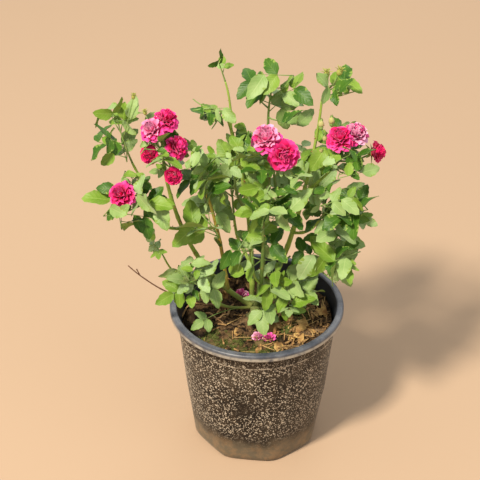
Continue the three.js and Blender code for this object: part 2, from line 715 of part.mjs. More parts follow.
// The pot: a turned wall with a rolled rim, a ledge under it and flats that die out above the foot
function potSolid() {
  const wallAt = (z) => {
    const share = z / (POT.height - POT.rimDepth);
    return POT.footRadius + (POT.neckRadius - POT.ledge - POT.footRadius) * share;
  };
  const ledgeHeight = POT.height - POT.ledgeBelowRim;
  const top = POT.height;
  const outside = [
    [0, 0],
    [POT.footRadius - POT.footRound, 0],
    [POT.footRadius - POT.footRound * 0.3, POT.footRound * 0.3],
    [wallAt(POT.footRound) + 0.3, POT.footRound],
    [wallAt(POT.flatsEnd), POT.flatsEnd],
    [wallAt(ledgeHeight - 1), ledgeHeight - 1],
    [wallAt(ledgeHeight) + POT.ledge, ledgeHeight],
    [POT.neckRadius, top - POT.rimDepth - 1],
    [POT.rimRadius - 1.2, top - POT.rimDepth],
    [POT.rimRadius, top - POT.rimDepth + 1.2],
    [POT.rimRadius, top - 1.6],
    [POT.rimRadius - 1.6, top],
    [POT.rimRadius - POT.rimWidth + 1, top],
    [POT.rimRadius - POT.rimWidth, top - 1],
  ];
  const inside = [
    [POT.neckRadius - POT.wall, top - POT.rimDepth - 1],
    [wallAt(ledgeHeight) - POT.wall, ledgeHeight],
    [wallAt(POT.flatsEnd) - POT.wall, POT.flatsEnd],
    [wallAt(POT.footRound) - POT.wall, POT.floor],
    [0, POT.floor],
  ];
  const profile = [...outside, ...inside].map(([r, z]) => new THREE.Vector2(r, z));
  const turned = new THREE.LatheGeometry(profile, POT.segments).rotateX(Math.PI / 2);
  const place = turned.attributes.position;
  for (let i = 0; i < place.count; i++) {
    const turn = Math.atan2(place.getY(i), place.getX(i)) + Math.PI * 2;
    const share = flatShare(turn, place.getZ(i));
    place.setXY(i, place.getX(i) * share, place.getY(i) * share);
  }
  let solid = toSolid(turned);
  for (let i = 0; i < POT.drains; i++) {
    const turn = (2 * Math.PI * (i + 0.5)) / POT.drains;
    const drill = new THREE.CylinderGeometry(POT.drainRadius, POT.drainRadius, 4 * POT.floor, 6);
    drill.rotateX(Math.PI / 2).translate(
      POT.drainCircle * Math.cos(turn),
      POT.drainCircle * Math.sin(turn),
      POT.floor / 2,
    );
    solid = solid.subtract(toSolid(drill));
  }
  return solid;
}

// The soil's top: higher on the right, uneven, and level where the plant stands
function soilHeight(x, y) {
  const rough =
    Math.sin(x * 0.11 + 1.3) * Math.cos(y * 0.13 - 0.4) + 0.6 * Math.sin(x * 0.23 - y * 0.17 + 2.1);
  const lift = SOIL.rise * (x / POT.neckRadius) + SOIL.roughness * rough;
  const away = Math.hypot(x - STUMP.foot[0], y - STUMP.foot[1]);
  const blend = THREE.MathUtils.smoothstep(away, SOIL.crownPatch, SOIL.crownPatch + 18);
  return SOIL.level + lift * blend;
}

// The soil: it fills the pot up to two fingers' breadth below the rim
function soilSolid() {
  const gap = CLEARANCE;
  const wallAt = (z) => {
    const share = z / (POT.height - POT.rimDepth);
    return POT.footRadius + (POT.neckRadius - POT.ledge - POT.footRadius) * share - POT.wall - gap;
  };
  const edge = wallAt(SOIL.level - 12) - 0.4;
  const shell = [
    [0, POT.floor + gap],
    [wallAt(POT.footRound) - 2.3, POT.floor + gap],
    [wallAt(POT.flatsEnd) - 1.3, POT.flatsEnd],
    [edge, SOIL.level - 12],
  ];
  const rings = Array.from({ length: SOIL.rings + 1 }, (_, i) => [edge * (1 - i / SOIL.rings), SOIL.level]);
  const profile = [...shell, ...rings].map(([r, z]) => new THREE.Vector2(r, z));
  const turned = new THREE.LatheGeometry(profile, POT.segments).rotateX(Math.PI / 2);
  const place = turned.attributes.position;
  const there = point(0, 0, 0);
  for (let i = 0; i < place.count; i++) {
    const [x, y, z] = [place.getX(i), place.getY(i), place.getZ(i)];
    const share = flatShare(Math.atan2(y, x) + Math.PI * 2, z);
    there.set(x, y, 0).applyAxisAngle(UP, THREE.MathUtils.degToRad(POT.flatTurn));
    const height = z > SOIL.level - 1 ? soilHeight(there.x, there.y) : z;
    place.setXYZ(i, x * share, y * share, height);
  }
  return toSolid(turned);
}

const FINISHES = {
  pot: { color: 0x3a3e40, roughness: 0.7, metalness: 0 },
  soil: { color: 0x4a3a28, roughness: 1, metalness: 0 },
  bark: { color: 0x7a7a3e, roughness: 0.8, metalness: 0 },
  dry: { color: 0x5a4430, roughness: 0.9, metalness: 0 },
  leaf: { color: 0x5f8350, roughness: 0.7, metalness: 0 },
};

function namedMesh(name, solid, finish) {
  const mesh = new THREE.Mesh(toGeometry(solid), new THREE.MeshStandardMaterial(FINISHES[finish]));
  mesh.name = name;
  return mesh;
}

const plant = new THREE.Group();
const vessel = new THREE.Group();
vessel.rotation.z = THREE.MathUtils.degToRad(POT.flatTurn);
vessel.add(namedMesh("pot", potSolid(), "pot"));
vessel.add(namedMesh("soil", soilSolid(), "soil"));
plant.add(vessel);
for (const [name, solid] of limbSolids()) {
  plant.add(namedMesh(name, solid, name === "dry_twig" ? "dry" : "bark"));
}
for (const mass of masses) plant.add(namedMesh(mass.name, massSolid(mass, growMass(mass)), "leaf"));

export default plant;
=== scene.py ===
"""A low bushy rose in its nursery pot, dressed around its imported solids.

The plant grows here by the same seeded rule as its solids, in the same millimetres, and is then
carried to finer twigs and leaves within the same spaces. Everything is turned to metres once, where
a mesh is made.
"""

from __future__ import annotations

import json
import logging
from dataclasses import dataclass, field
from enum import Enum, IntEnum
from functools import cache
from itertools import combinations
from math import atan2, cos, exp, hypot, pi, radians, sin, sqrt
from typing import Callable, ClassVar, Sequence

import bpy
import numpy as np
from mathutils import Matrix, Quaternion, Vector, noise

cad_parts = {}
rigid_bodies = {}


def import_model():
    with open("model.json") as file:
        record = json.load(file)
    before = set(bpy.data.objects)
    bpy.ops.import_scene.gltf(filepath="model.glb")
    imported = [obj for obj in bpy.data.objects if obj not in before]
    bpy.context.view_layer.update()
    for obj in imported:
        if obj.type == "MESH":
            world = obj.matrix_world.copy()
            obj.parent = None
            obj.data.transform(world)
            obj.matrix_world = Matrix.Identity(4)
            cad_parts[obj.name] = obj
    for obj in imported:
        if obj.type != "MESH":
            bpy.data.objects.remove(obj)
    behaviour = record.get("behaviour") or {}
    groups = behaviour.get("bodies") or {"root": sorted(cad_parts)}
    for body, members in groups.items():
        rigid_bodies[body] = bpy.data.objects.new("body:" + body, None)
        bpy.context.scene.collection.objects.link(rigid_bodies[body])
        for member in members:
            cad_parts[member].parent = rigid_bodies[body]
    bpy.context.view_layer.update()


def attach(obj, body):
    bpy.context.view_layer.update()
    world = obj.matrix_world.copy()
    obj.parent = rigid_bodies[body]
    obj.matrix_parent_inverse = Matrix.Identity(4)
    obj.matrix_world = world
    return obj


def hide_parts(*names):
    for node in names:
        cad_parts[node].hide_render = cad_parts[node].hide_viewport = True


LOG = logging.getLogger("rose")
MM = 0.001
FULL_TURN = 2 * pi
GOLDEN_TURN = radians(137.5)
UP = np.array((0.0, 0.0, 1.0))
CLEARANCE = 0.3

Array = np.ndarray
Pair = tuple[float, float]
Point = tuple[float, float, float]
Colour = tuple[float, float, float]
Ways = tuple[Array, Array, Array]
Shape = tuple[Array, list[tuple[int, ...]]]
SheetShape = tuple[Shape, list[Pair], list[bool]]
Material = bpy.types.Material
Object = bpy.types.Object
Socket = bpy.types.NodeSocket


def unit(way: Sequence[float]) -> Array:
    """A way as a unit vector."""
    v = np.asarray(way, float)
    return v / sqrt(float(v @ v))


LIGHT = unit((-0.3, -0.75, 0.85))


class Draws:
    """Seeded draws, so that the plant grows the same each time."""

    MODULUS = 2147483647
    FACTOR = 48271

    def __init__(self, seed: int) -> None:
        """Starts the run of draws that this number names."""
        self.state = (seed * 7919 + 104729) * self.FACTOR**3 % self.MODULUS

    def share(self) -> float:
        """The next draw, from 0 to 1."""
        self.state = self.state * self.FACTOR % self.MODULUS
        return self.state / self.MODULUS

    def span(self, low: float, high: float) -> float:
        """The next draw, from low to high."""
        return low + (high - low) * self.share()

    def turn(self) -> float:
        """The next draw of a turn all round."""
        return self.span(0, FULL_TURN)

    def pick(self, weights: Sequence[float]) -> int:
        """Draws one of several, by weight.

        Args:
            weights: The share of each, in any unit.

        Returns:
            The index of the one drawn.
        """
        left = self.share() * sum(weights)
        for i, weight in enumerate(weights):
            left -= weight
            if left <= 0:
                return i
        return len(weights) - 1


@dataclass
class Stretch:
    """A run from start to tip with a bow in the middle."""

    start: Array | Point
    tip: Array | Point
    bow: Array | Point = (0, 0, 0)

    def __post_init__(self) -> None:
        """Turns its places into arrays."""
        self.start, self.tip, self.bow = (np.array(v, float) for v in (self.start, self.tip, self.bow))

    def points(self, shares: Sequence[float]) -> Array:
        """The places at several shares of the run, one a row."""
        t = np.asarray(shares, float)[:, None]
        return self.start + (self.tip - self.start) * t + self.bow * (4 * t * (1 - t))

    def point(self, share: float) -> Array:
        """The place at a share of the run."""
        return self.points([share])[0]

    def heading(self, t: float) -> Array:
        """The way that the run goes at a share of it."""
        return unit(self.tip - self.start + self.bow * (4 * (1 - 2 * t)))

    def length(self) -> float:
        """How long the run is, along its bow."""
        return float(np.linalg.norm(np.diff(self.points(np.linspace(0, 1, 13)), axis=0), axis=1).sum())

    def pieces(self, share: float, count: int) -> tuple[Array, Array]:
        """The starts and the ends of short straight pieces, up to a share of the run."""
        places = self.points(np.linspace(0, share, count + 1))
        return places[:-1], places[1:]


@dataclass(frozen=True)
class StumpPlan:
    """The crown of the plant, where every cane starts."""

    foot: Point = (-1, 17, 158.3)
    top: Point = (-1, 18, 171)
    foot_radius: float = 13
    top_radius: float = 9
    spread: float = 5


class Bark(Enum):
    """The look of a limb."""

    GREEN = "green"
    OLIVE = "olive"
    AMBER = "amber"
    DRY = "dry"


@dataclass(frozen=True)
class LimbPlan:
    """One limb: the limb it leaves and where along it, its tip, its bow, its radii and its look."""

    name: str
    parent: str
    share: float
    tip: Point
    bow: Point
    foot: float
    end: float
    bark: Bark = Bark.GREEN


LIMB_PLANS = tuple(LimbPlan(*row) for row in (
    ("cane_left", "stump", 0.45, (-100, 2, 350), (-14, 4, -22), 3.2, 1.9),
    ("bough_left_low", "cane_left", 0.7, (-116, -14, 308), (-4, -2, -4), 1.9, 1.3),
    ("bough_left_outer", "cane_left", 0.86, (-136, 6, 364), (-4, 0, -6), 1.7, 1.2),
    ("cane_inner", "cane_left", 0.2, (-56, 3, 326), (2, 2, 6), 2.4, 1.6, Bark.AMBER),
    ("cane_left_mid", "cane_inner", 0.42, (-46, 2, 268), (-3, 0, 3), 1.8, 1.4, Bark.OLIVE),
    ("cane_upright", "stump", 0.8, (-32, 34, 401), (8, 6, 0), 3.0, 1.7),
    ("bough_top_spray", "cane_upright", 0.95, (-35, 39, 445), (2, 0, 2), 1.4, 1.0),
    ("bough_centre_left", "cane_upright", 0.5, (-25, 18, 336), (-3, -3, -3), 1.8, 1.3, Bark.OLIVE),
    ("cane_rear_left", "cane_upright", 0.2, (-26, 62, 256), (-4, 8, -6), 2.2, 1.5),
    ("cane_back", "stump", 0.7, (12, 48, 380), (6, 14, 0), 3.0, 1.6, Bark.OLIVE),
    ("cane_rear_right", "cane_back", 0.35, (38, 62, 276), (2, 4, -4), 2.0, 1.4, Bark.OLIVE),
    ("cane_right", "stump", 0.6, (52, -2, 340), (4, -2, -6), 3.6, 2.2),
    ("bough_top_right", "cane_right", 0.92, (67, 8, 438), (3, 2, 4), 2.0, 1.2),
    ("bough_right_flowers", "cane_right", 0.96, (78, -8, 362), (-2, 0, -4), 1.9, 1.4),
    ("bough_centre_flowers", "cane_right", 0.72, (17, -25, 368), (-4, -4, -8), 1.8, 1.4, Bark.OLIVE),
    ("bough_right", "cane_right", 0.66, (68, -18, 306), (2, -2, -5), 1.8, 1.4),
    ("cane_right_low", "cane_right", 0.24, (58, -18, 240), (3, -4, -5), 2.0, 1.5),
    ("cane_front", "stump", 0.5, (6, -34, 316), (2, -12, -8), 2.7, 1.6, Bark.OLIVE),
    ("bough_centre_low", "cane_front", 0.42, (-5, -18, 243), (-2, -2, -2), 1.5, 1.2),
    ("sprout_left", "stump", 0.35, (-56, -10, 202), (-6, -4, -6), 1.9, 1.3),
    ("sprig_left", "sprout_left", 0.8, (-104, -10, 250), (-6, 0, -6), 1.3, 1.0),
    ("dry_twig", "sprout_left", 0.55, (-143, -26, 250), (-4, -8, -6), 1.1, 0.6, Bark.DRY),
    ("sprout_centre", "stump", 0.3, (18, -6, 190), (3, -4, -2), 1.7, 1.2),
))


@dataclass(frozen=True)
class MassPlan:
    """One mass of foliage: its limb, its space, its stem's tip, and what grows on it."""

    name: str
    limb: str
    centre: Point
    radii: Point
    tip: Point
    leaves: int
    shoots: int
    leaflet: float
    seed: int


MASS_PLANS = tuple(MassPlan(*row) for row in (
    ("left_outer", "bough_left_outer", (-152, 10, 392), (40, 46, 56), (-150, 10, 416), 3, 3, 34, 138),
    ("left_flowers", "cane_left", (-96, 2, 388), (48, 50, 60), (-101, 4, 400), 4, 2, 27, 80),
    ("left_low", "bough_left_low", (-136, -24, 332), (54, 52, 44), (-138, -26, 342), 3, 3, 37, 93),
    ("left_inner", "cane_inner", (-57, -1, 352), (48, 46, 44), (-60, 0, 362), 4, 2, 34, 9),
    ("left_mid", "cane_left_mid", (-58, 0, 292), (48, 48, 42), (-62, -2, 302), 4, 2, 36, 76),
    ("top_left", "cane_upright", (-54, 34, 409), (50, 36, 25), (-70, 31, 414), 3, 2, 29, 150),
    ("top_spray", "bough_top_spray", (-41, 38, 466), (22, 24, 28), (-40, 39, 462), 2, 0, 20, 57),
    ("centre_left", "bough_centre_left", (-20, 24, 366), (44, 42, 46), (-22, 22, 378), 4, 2, 33, 43),
    ("top", "cane_back", (18, 46, 424), (54, 46, 50), (16, 44, 438), 3, 3, 37, 115),
    ("top_right", "bough_top_right", (84, 8, 458), (40, 34, 31), (80, 8, 458), 3, 2, 31, 89),
    ("centre_flowers", "bough_centre_flowers", (14, -28, 396), (50, 44, 46), (14, -26, 388), 4, 2, 29, 92),
    ("right_flowers", "bough_right_flowers", (92, -8, 388), (60, 48, 44), (90, -8, 380), 3, 3, 32, 36),
    ("right", "bough_right", (86, -26, 330), (58, 50, 44), (88, -24, 334), 3, 3, 35, 104),
    ("centre", "cane_front", (16, -42, 340), (48, 46, 44), (14, -42, 350), 3, 3, 34, 94),
    ("right_low", "cane_right_low", (82, -32, 262), (50, 48, 46), (80, -30, 272), 3, 3, 40, 21),
    ("low_left", "sprout_left", (-74, -20, 222), (50, 44, 40), (-76, -20, 228), 4, 2, 30, 140),
    ("left_sprig", "sprig_left", (-114, -10, 264), (28, 28, 30), (-114, -10, 266), 3, 0, 16, 115),
    ("centre_low", "bough_centre_low", (-6, -16, 268), (48, 44, 40), (-8, -16, 276), 4, 2, 37, 125),
    ("low_centre", "sprout_centre", (30, -16, 214), (50, 44, 40), (32, -16, 222), 4, 2, 35, 44),
    ("rear_left", "cane_rear_left", (-30, 84, 290), (50, 46, 48), (-30, 84, 302), 3, 3, 40, 115),
    ("rear_right", "cane_rear_right", (48, 80, 316), (50, 46, 54), (46, 80, 328), 3, 3, 40, 35),
))


class Tint(Enum):
    """How a bloom is coloured."""

    BLUSH = "blush"
    MAGENTA = "magenta"
    CRIMSON = "crimson"
    FADED = "faded"
    BUD = "bud"
    SPENT = "spent"


@dataclass(frozen=True)
class BloomPlan:
    """One bloom or bud: the mass that bears it, its middle, its diameter, the way it faces, its tint."""

    mass: str
    centre: Point
    diameter: float
    facing: Point
    tint: Tint


BLOOM_PLANS = tuple(BloomPlan(*row) for row in (
    ("left_flowers", (-113.6, -1, 411), 26, (-0.35, -0.45, 0.8), Tint.BLUSH),
    ("left_flowers", (-96.9, 10, 416.7), 26, (0.3, -0.2, 0.9), Tint.MAGENTA),
    ("left_flowers", (-84.4, 0, 388.1), 25, (0.6, -0.3, 0.6), Tint.MAGENTA),
    ("left_flowers", (-117.3, 5, 374), 22, (-0.3, -0.7, 0.3), Tint.CRIMSON),
    ("left_flowers", (-91, -22, 363.5), 21, (-0.2, -0.8, 0.2), Tint.CRIMSON),
    ("left_low", (-147.3, -30, 347), 27, (-0.4, -0.6, 0.7), Tint.MAGENTA),
    ("centre_flowers", (8, -25, 414.8), 31, (-0.1, -0.4, 0.9), Tint.BLUSH),
    ("centre_flowers", (26.8, -38, 398.9), 31, (0.1, -0.8, 0.4), Tint.MAGENTA),
    ("right_flowers", (86.1, -15, 409.1), 27, (-0.1, -0.4, 0.9), Tint.MAGENTA),
    ("right_flowers", (104.8, -4, 408), 26, (0.2, -0.2, 0.9), Tint.FADED),
    ("right_flowers", (128.2, -5, 383.6), 24, (0.8, -0.3, 0.3), Tint.CRIMSON),
    ("right_flowers", (66.5, -5, 418), 9, (0, 0, 1), Tint.BUD),
    ("right_flowers", (77.5, -3, 421), 9, (0, 0, 1), Tint.BUD),
    ("top_right", (71, 5, 474), 9, (0, 0, 1), Tint.SPENT),
    ("top_right", (85, 5, 476.5), 9, (0.3, 0, 1), Tint.SPENT),
))

SMALL_HEADS = tuple(BloomPlan(*row) for row in (
    ("right_flowers", (71, -8, 402), 8, (-0.1, -0.2, 1), Tint.BUD),
    ("right_flowers", (80, -13, 391), 6, (0.2, -0.4, 1), Tint.BUD),
    ("right_flowers", (67, -11, 389), 6, (-0.4, -0.3, 1), Tint.BUD),
    ("left_outer", (-131, 6, 446), 6, (0.2, 0, 1), Tint.SPENT),
    ("left_flowers", (-120, 6, 427), 6, (-0.2, 0, 1), Tint.SPENT),
))

LOW_LEAVES = (
    (Stretch((-9, 14, 164), (-61, -27, 174), (-3, -1, 4)), 18),
    (Stretch((1, 8, 165), (6, -26, 182), (1, -3, 8)), 26),
)


@dataclass(frozen=True)
class Effort:
    """How many ways are tried for a leaf, the leaflets that are enough, its scales and its stalk's radius."""

    tries: int
    enough: int
    scales: Pair
    stalk: float


@dataclass(frozen=True)
class LeafRule:
    """How the leaves grow: sizes are shares of the leaflet's length, and pads are in millimetres."""

    effort: Effort = Effort(20, 5, (0.72, 1.08), 0.5)
    fewest: int = 2
    rachis: float = 1.25
    outward: float = 0.6
    spacing: float = 0.48
    limb_clear: float = 2.2
    wall_clear: float = 0.6
    stalk_pad: float = 1.3
    bloom_clear: float = 0.54
    bud_below: float = 12
    shoot_reach: Pair = (0.5, 0.72)
    shoot_sag: float = 0.06
    thinning: float = 0.62
    stations: tuple[tuple[float, int, float], ...] = (
        (1, 0, 1), (0.74, 1, 0.88), (0.74, -1, 0.88), (0.42, 1, 0.72), (0.42, -1, 0.72),
    )
    outline: tuple[Pair, ...] = ((0, 0), (0.3, 0.86), (0.68, 0.9), (1, 0), (0.68, -0.9), (0.3, -0.86))


@dataclass(frozen=True)
class FineRule:
    """How the plant is carried to finer twigs within the same spaces."""

    seed_step: int = 1000
    at: float = 0.55
    reach: Pair = (0.4, 0.7)
    heights: Pair = (-0.5, 0.9)
    lift: float = 0.08
    sites: int = 2
    effort: Effort = Effort(6, 4, (0.42, 0.72), 0.38)
    bare: tuple[str, ...] = (
        "top_spray", "left_sprig", "top_right", "top_left", "left_outer", "left_mid", "centre_low", "top",
    )


@dataclass
class Blade:
    """One leaflet's blade: where it is rooted, its three ways and its size."""

    base: Array
    along: Array
    side: Array
    normal: Array
    length: float
    width: float
    outline: Array
    middle: Array

    def edges(self) -> tuple[Array, Array]:
        """The starts and the ends of the straight runs round the blade and along its midrib."""
        starts = np.vstack((self.outline, self.outline[:1]))
        return starts, np.vstack((np.roll(self.outline, -1, axis=0), self.outline[3:4]))

    def pierced(self, starts: Array, ends: Array) -> bool:
        """Whether any straight run goes through the blade.

        Args:
            starts: Where the runs start, one a row.
            ends: Where they end.

        Returns:
            True where one does.
        """
        above = (starts - self.base) @ self.normal
        below = (ends - self.base) @ self.normal
        hit = (above > 0) != (below > 0)
        part = (above[hit] / (above[hit] - below[hit]))[:, None]
        at = starts[hit] + (ends[hit] - starts[hit]) * part - self.base
        share = at @ self.along / self.length
        across = 2 * np.abs(at @ self.side) / self.width
        reach = np.minimum(np.minimum(share / 0.3 * 0.86, 0.88), (1 - share) / 0.32 * 0.9)
        return bool(np.any((share >= 0.04) & (share <= 1) & (across < reach)))

    def crosses(self, other: Blade) -> bool:
        """Whether an edge or the midrib of this blade or another goes through the other one."""
        near = np.linalg.norm(self.middle - other.middle) <= (self.length + other.length) * 0.6
        return bool(near) and (other.pierced(*self.edges()) or self.pierced(*other.edges()))


@dataclass
class Leaf:
    """One compound leaf: a thin stalk with a leaflet at its end and pairs beside it."""

    rachis: Stretch
    furthest: float
    blades: list[Blade]
    radius: float


@dataclass
class Twig:
    """A stem, shoot or finer twig of a mass, with the radius at its foot."""

    curve: Stretch
    radius: float


@dataclass
class Limb:
    """A cane or bough as it has grown."""

    plan: LimbPlan | StumpPlan
    curve: Stretch
    foot: float
    end: float

    def radius(self, share: float | Array) -> float | Array:
        """Its radius at one or several shares of its length."""
        return self.foot + (self.end - self.foot) * share


@dataclass
class Mass:
    """A mass of foliage as it has grown, in an egg-shaped space of its own."""

    index: int
    plan: MassPlan

    def __post_init__(self) -> None:
        """Works out its space, finds its blooms and starts its draws."""
        self.centre = np.array(self.plan.centre, float)
        self.radii = np.array(self.plan.radii, float)
        self.size = float(self.radii.mean())
        self.blooms = [bloom for bloom in BLOOM_PLANS if bloom.mass == self.plan.name]
        self.twigs: list[Twig] = []
        self.pedicels: list[Stretch] = []
        self.leaves: list[Leaf] = []
        self.blades: list[Blade] = []
        self.barred: list[tuple[Array, Array]] = []
        self.draws = Draws(self.plan.seed)
        self.turn = self.draws.turn()

    def spin(self, spread: float = 0.4) -> None:
        """Turns on to where the next thing grows."""
        self.turn += GOLDEN_TURN + self.draws.span(-spread, spread)

    def way(self, flat: float, rise: float) -> Array:
        """The way at the present turn, with this level and this upright part."""
        return np.array((cos(self.turn) * flat, sin(self.turn) * flat, rise))


def leaf_frame(aim: Array, draws: Draws) -> Ways:
    """A leaf's three ways, the last of them up from its face, which strays from the light.

    Args:
        aim: The way of its stalk.
        draws: The draws to use.

    Returns:
        The ways along its stalk, to its side and up, each one long.
    """
    face = LIGHT + aim * draws.span(-0.1, 0.5)
    side = unit(np.cross(aim, unit(face + np.array([draws.span(-0.4, 0.4) for _ in range(3)]))))
    return aim, side, unit(np.cross(side, aim))


@dataclass
class Growth:
    """The whole plant, grown by the rule."""

    guard_steps: int = 10
    rule: LeafRule = LeafRule()
    fine: FineRule = FineRule()

    def __post_init__(self) -> None:
        """Starts with no limbs, and with every mass empty."""
        self.limbs: dict[str, Limb] = {}
        self.masses = [Mass(i, plan) for i, plan in enumerate(MASS_PLANS)]
        self.centres = np.array([m.centre for m in self.masses])
        self.sizes2 = np.array([m.size**2 for m in self.masses])
        self.low_leaves: list[Leaf] = []

    def grow(self) -> None:
        """Grows the limbs, then each mass, then the finer twigs and leaves."""
        self.grow_limbs()
        for mass in self.masses:
            self.grow_mass(mass)
        for mass in self.masses:
            if mass.plan.name not in self.fine.bare:
                self.fill_mass(mass)
        self.grow_low_leaves()

    def grow_limbs(self) -> None:
        """Grows each limb from its place on its parent, and notes where the limbs run."""
        stump = StumpPlan()
        self.limbs["stump"] = Limb(stump, Stretch(stump.foot, stump.top), stump.foot_radius, stump.top_radius)
        for plan in LIMB_PLANS:
            start = self.limbs[plan.parent].curve.point(plan.share)
            if plan.parent == "stump":
                start = start + unit((plan.tip[0] - start[0], plan.tip[1] - start[1], 0)) * stump.spread
            self.limbs[plan.name] = Limb(plan, Stretch(start, plan.tip, plan.bow), plan.foot, plan.end)
        steps, limbs = self.guard_steps, self.limbs.values()
        pieces = [limb.curve.pieces(1, steps) for limb in limbs]
        self.guard_starts = np.vstack([starts for starts, _ in pieces])
        self.guard_runs = np.vstack([ends - starts for starts, ends in pieces])
        self.guard_radii = np.concatenate([limb.radius(np.arange(steps) / steps) for limb in limbs])
        self.guard_lengths2 = (self.guard_runs**2).sum(axis=1)

    def inside(self, mass: Mass, places: Array, pad: float) -> bool:
        """Whether places keep to a mass's space: an egg shape, cut off midway to its neighbours.

        Args:
            mass: The mass.
            places: The places, one a row.
            pad: How far inside they must be.

        Returns:
            True where all are inside.
        """
        part = (places - mass.centre) / (mass.radii - pad)
        if np.any((part**2).sum(axis=1) > 1):
            return False
        far2 = ((places[:, None, :] - self.centres[None]) ** 2).sum(axis=2) - self.sizes2
        across = 2 * np.linalg.norm(self.centres - mass.centre, axis=1)
        across[mass.index] = 1
        gap = (far2 - far2[:, mass.index, None]) / across
        gap[:, mass.index] = np.inf
        return bool(gap.min() >= pad + CLEARANCE / 2 + 0.1)

    def clear(self, places: Array, pad: float) -> bool:
        """Whether places keep this far from every limb.

        Args:
            places: The places, one a row.
            pad: How far off they must be.

        Returns:
            True where all do.
        """
        apart = places[:, None, :] - self.guard_starts[None]
        along = np.clip((apart * self.guard_runs).sum(axis=2) / self.guard_lengths2, 0, 1)
        off = apart - self.guard_runs * along[..., None]
        return bool(np.all((off**2).sum(axis=2) >= (self.guard_radii + pad) ** 2))

    def blade_fits(self, mass: Mass, blade: Blade) -> bool:
        """Whether a leaflet may grow where it would: in its space, off limbs and blooms, through nothing.

        Args:
            mass: The mass that it would grow in.
            blade: The leaflet.

        Returns:
            True where it may.
        """
        rule = self.rule
        if not self.inside(mass, blade.outline, rule.wall_clear):
            return False
        if mass.blades:
            apart = np.linalg.norm(np.array([o.middle for o in mass.blades]) - blade.middle, axis=1)
            lengths = np.array([o.length for o in mass.blades])
            if np.any(apart < rule.spacing * (blade.length + lengths) / 2):
                return False
        tested = np.vstack((blade.outline[1:], blade.middle))
        for bloom in mass.blooms:
            if np.any(np.linalg.norm(tested - bloom.centre, axis=1) < bloom.diameter * rule.bloom_clear):
                return False
        if not self.clear(tested, rule.limb_clear):
            return False
        barred = [(self.guard_starts, self.guard_starts + self.guard_runs), *mass.barred]
        pierced = blade.pierced(*(np.vstack(ends) for ends in zip(*barred)))
        return not pierced and not any(blade.crosses(o) for o in mass.blades)

    def grow_leaf(self, mass: Mass, start: Array, aim: Array, scale: float) -> Leaf | None:
        """Grows one compound leaf, or none where too few leaflets fit.

        Args:
            mass: The mass that it grows in.
            start: Where its stalk starts.
            aim: The way that its stalk goes.
            scale: The size of its leaflets, against the mass's own.

        Returns:
            The leaf, or None.
        """
        rule = self.rule
        long = mass.plan.leaflet * scale
        rachis = Stretch(start, start + aim * (long * rule.rachis))
        frame = leaf_frame(aim, mass.draws)
        blades: list[Blade] = []
        furthest = 0.0
        for at, hand, part in rule.stations:
            blade = self.shape_blade(rachis.point(at), hand, long * part, frame, mass.draws)
            if self.blade_fits(mass, blade) and not any(blade.crosses(o) for o in blades):
                blades.append(blade)
                furthest = max(furthest, at)
        if len(blades) < rule.fewest:
            return None
        starts, ends = rachis.pieces(furthest, 10)
        if not self.inside(mass, ends, rule.stalk_pad) or not self.clear(ends, rule.limb_clear):
            return None
        if any(o.pierced(starts, ends) for o in mass.blades):
            return None
        return Leaf(rachis, furthest, blades, rule.effort.stalk)

    def shape_blade(self, base: Array, hand: int, long: float, frame: Ways, draws: Draws) -> Blade:
        """Shapes one leaflet.

        Args:
            base: Where it is rooted on the leaf's stalk.
            hand: 0 at the tip, 1 or -1 to a side.
            long: Its length.
            frame: The leaf's three ways.
            draws: The draws to use.

        Returns:
            The leaflet.
        """
        aim, side, normal = frame
        splay, roll, droop = draws.span(0.85, 1.2), draws.span(-0.35, 0.35), draws.span(-0.25, 0.15)
        wide = long * draws.span(0.58, 0.7)
        along = unit(aim * cos(splay * abs(hand)) + side * (hand * sin(splay)) + normal * droop)
        across = unit(np.cross(normal, along))
        tilted = unit(np.cross(along, across) + across * roll)
        own_side = np.cross(tilted, along)
        outline = [base + along * (long * s) + own_side * (wide / 2 * h) for s, h in self.rule.outline]
        return Blade(base, along, own_side, tilted, long, wide, np.array(outline), base + along * (long / 2))

    def grow_low_leaves(self) -> None:
        """Grows the long-stalked leaves from the crown, without the leaflets that would meet others."""
        draws = Draws(901)
        grown = [blade for mass in self.masses for blade in mass.blades]
        for rachis, leaflet in LOW_LEAVES:
            frame = leaf_frame(rachis.heading(1), draws)
            blades = []
            for at, hand, part in self.rule.stations[:3]:
                place = 1 - (1 - at) * leaflet * self.rule.rachis / rachis.length()
                blade = self.shape_blade(rachis.point(place), hand, leaflet * part, frame, draws)
                if not any(blade.crosses(o) for o in grown):
                    blades.append(blade)
            self.low_leaves.append(Leaf(rachis, 1.0, blades, self.rule.effort.stalk))

    def grow_shoots(self, mass: Mass, limb: Limb) -> None:
        """Grows side shoots from a mass's stem towards the walls of its space.

        Args:
            mass: The mass.
            limb: The limb that bears it.
        """
        count, draws = mass.plan.shoots, mass.draws
        for i in range(count):
            height = 1 - (2 * i + 1) / count + draws.span(-0.25, 0.25)
            mass.spin()
            flat = sqrt(max(0.0, 1 - height * height))
            target = mass.way(flat, height) * mass.radii * draws.span(*self.rule.shoot_reach) + mass.centre
            start = mass.twigs[0].curve.point(0.2 + 0.6 * (1 - (i + 0.5) / count))
            tip = target
            cut = 0.8
            for _ in range(6):
                if self.inside(mass, tip[None], 4):
                    break
                tip = start + (target - start) * cut
                cut *= 0.8
            length = float(np.linalg.norm(tip - start))
            curve = Stretch(start, tip, UP * (-self.rule.shoot_sag * length))
            steps = curve.points(np.linspace(0.2, 1, 5))
            if length > mass.size * 0.2 and self.inside(mass, steps, 1.6) and self.clear(steps, 2.2):
                mass.twigs.append(Twig(curve, limb.end * self.rule.thinning))

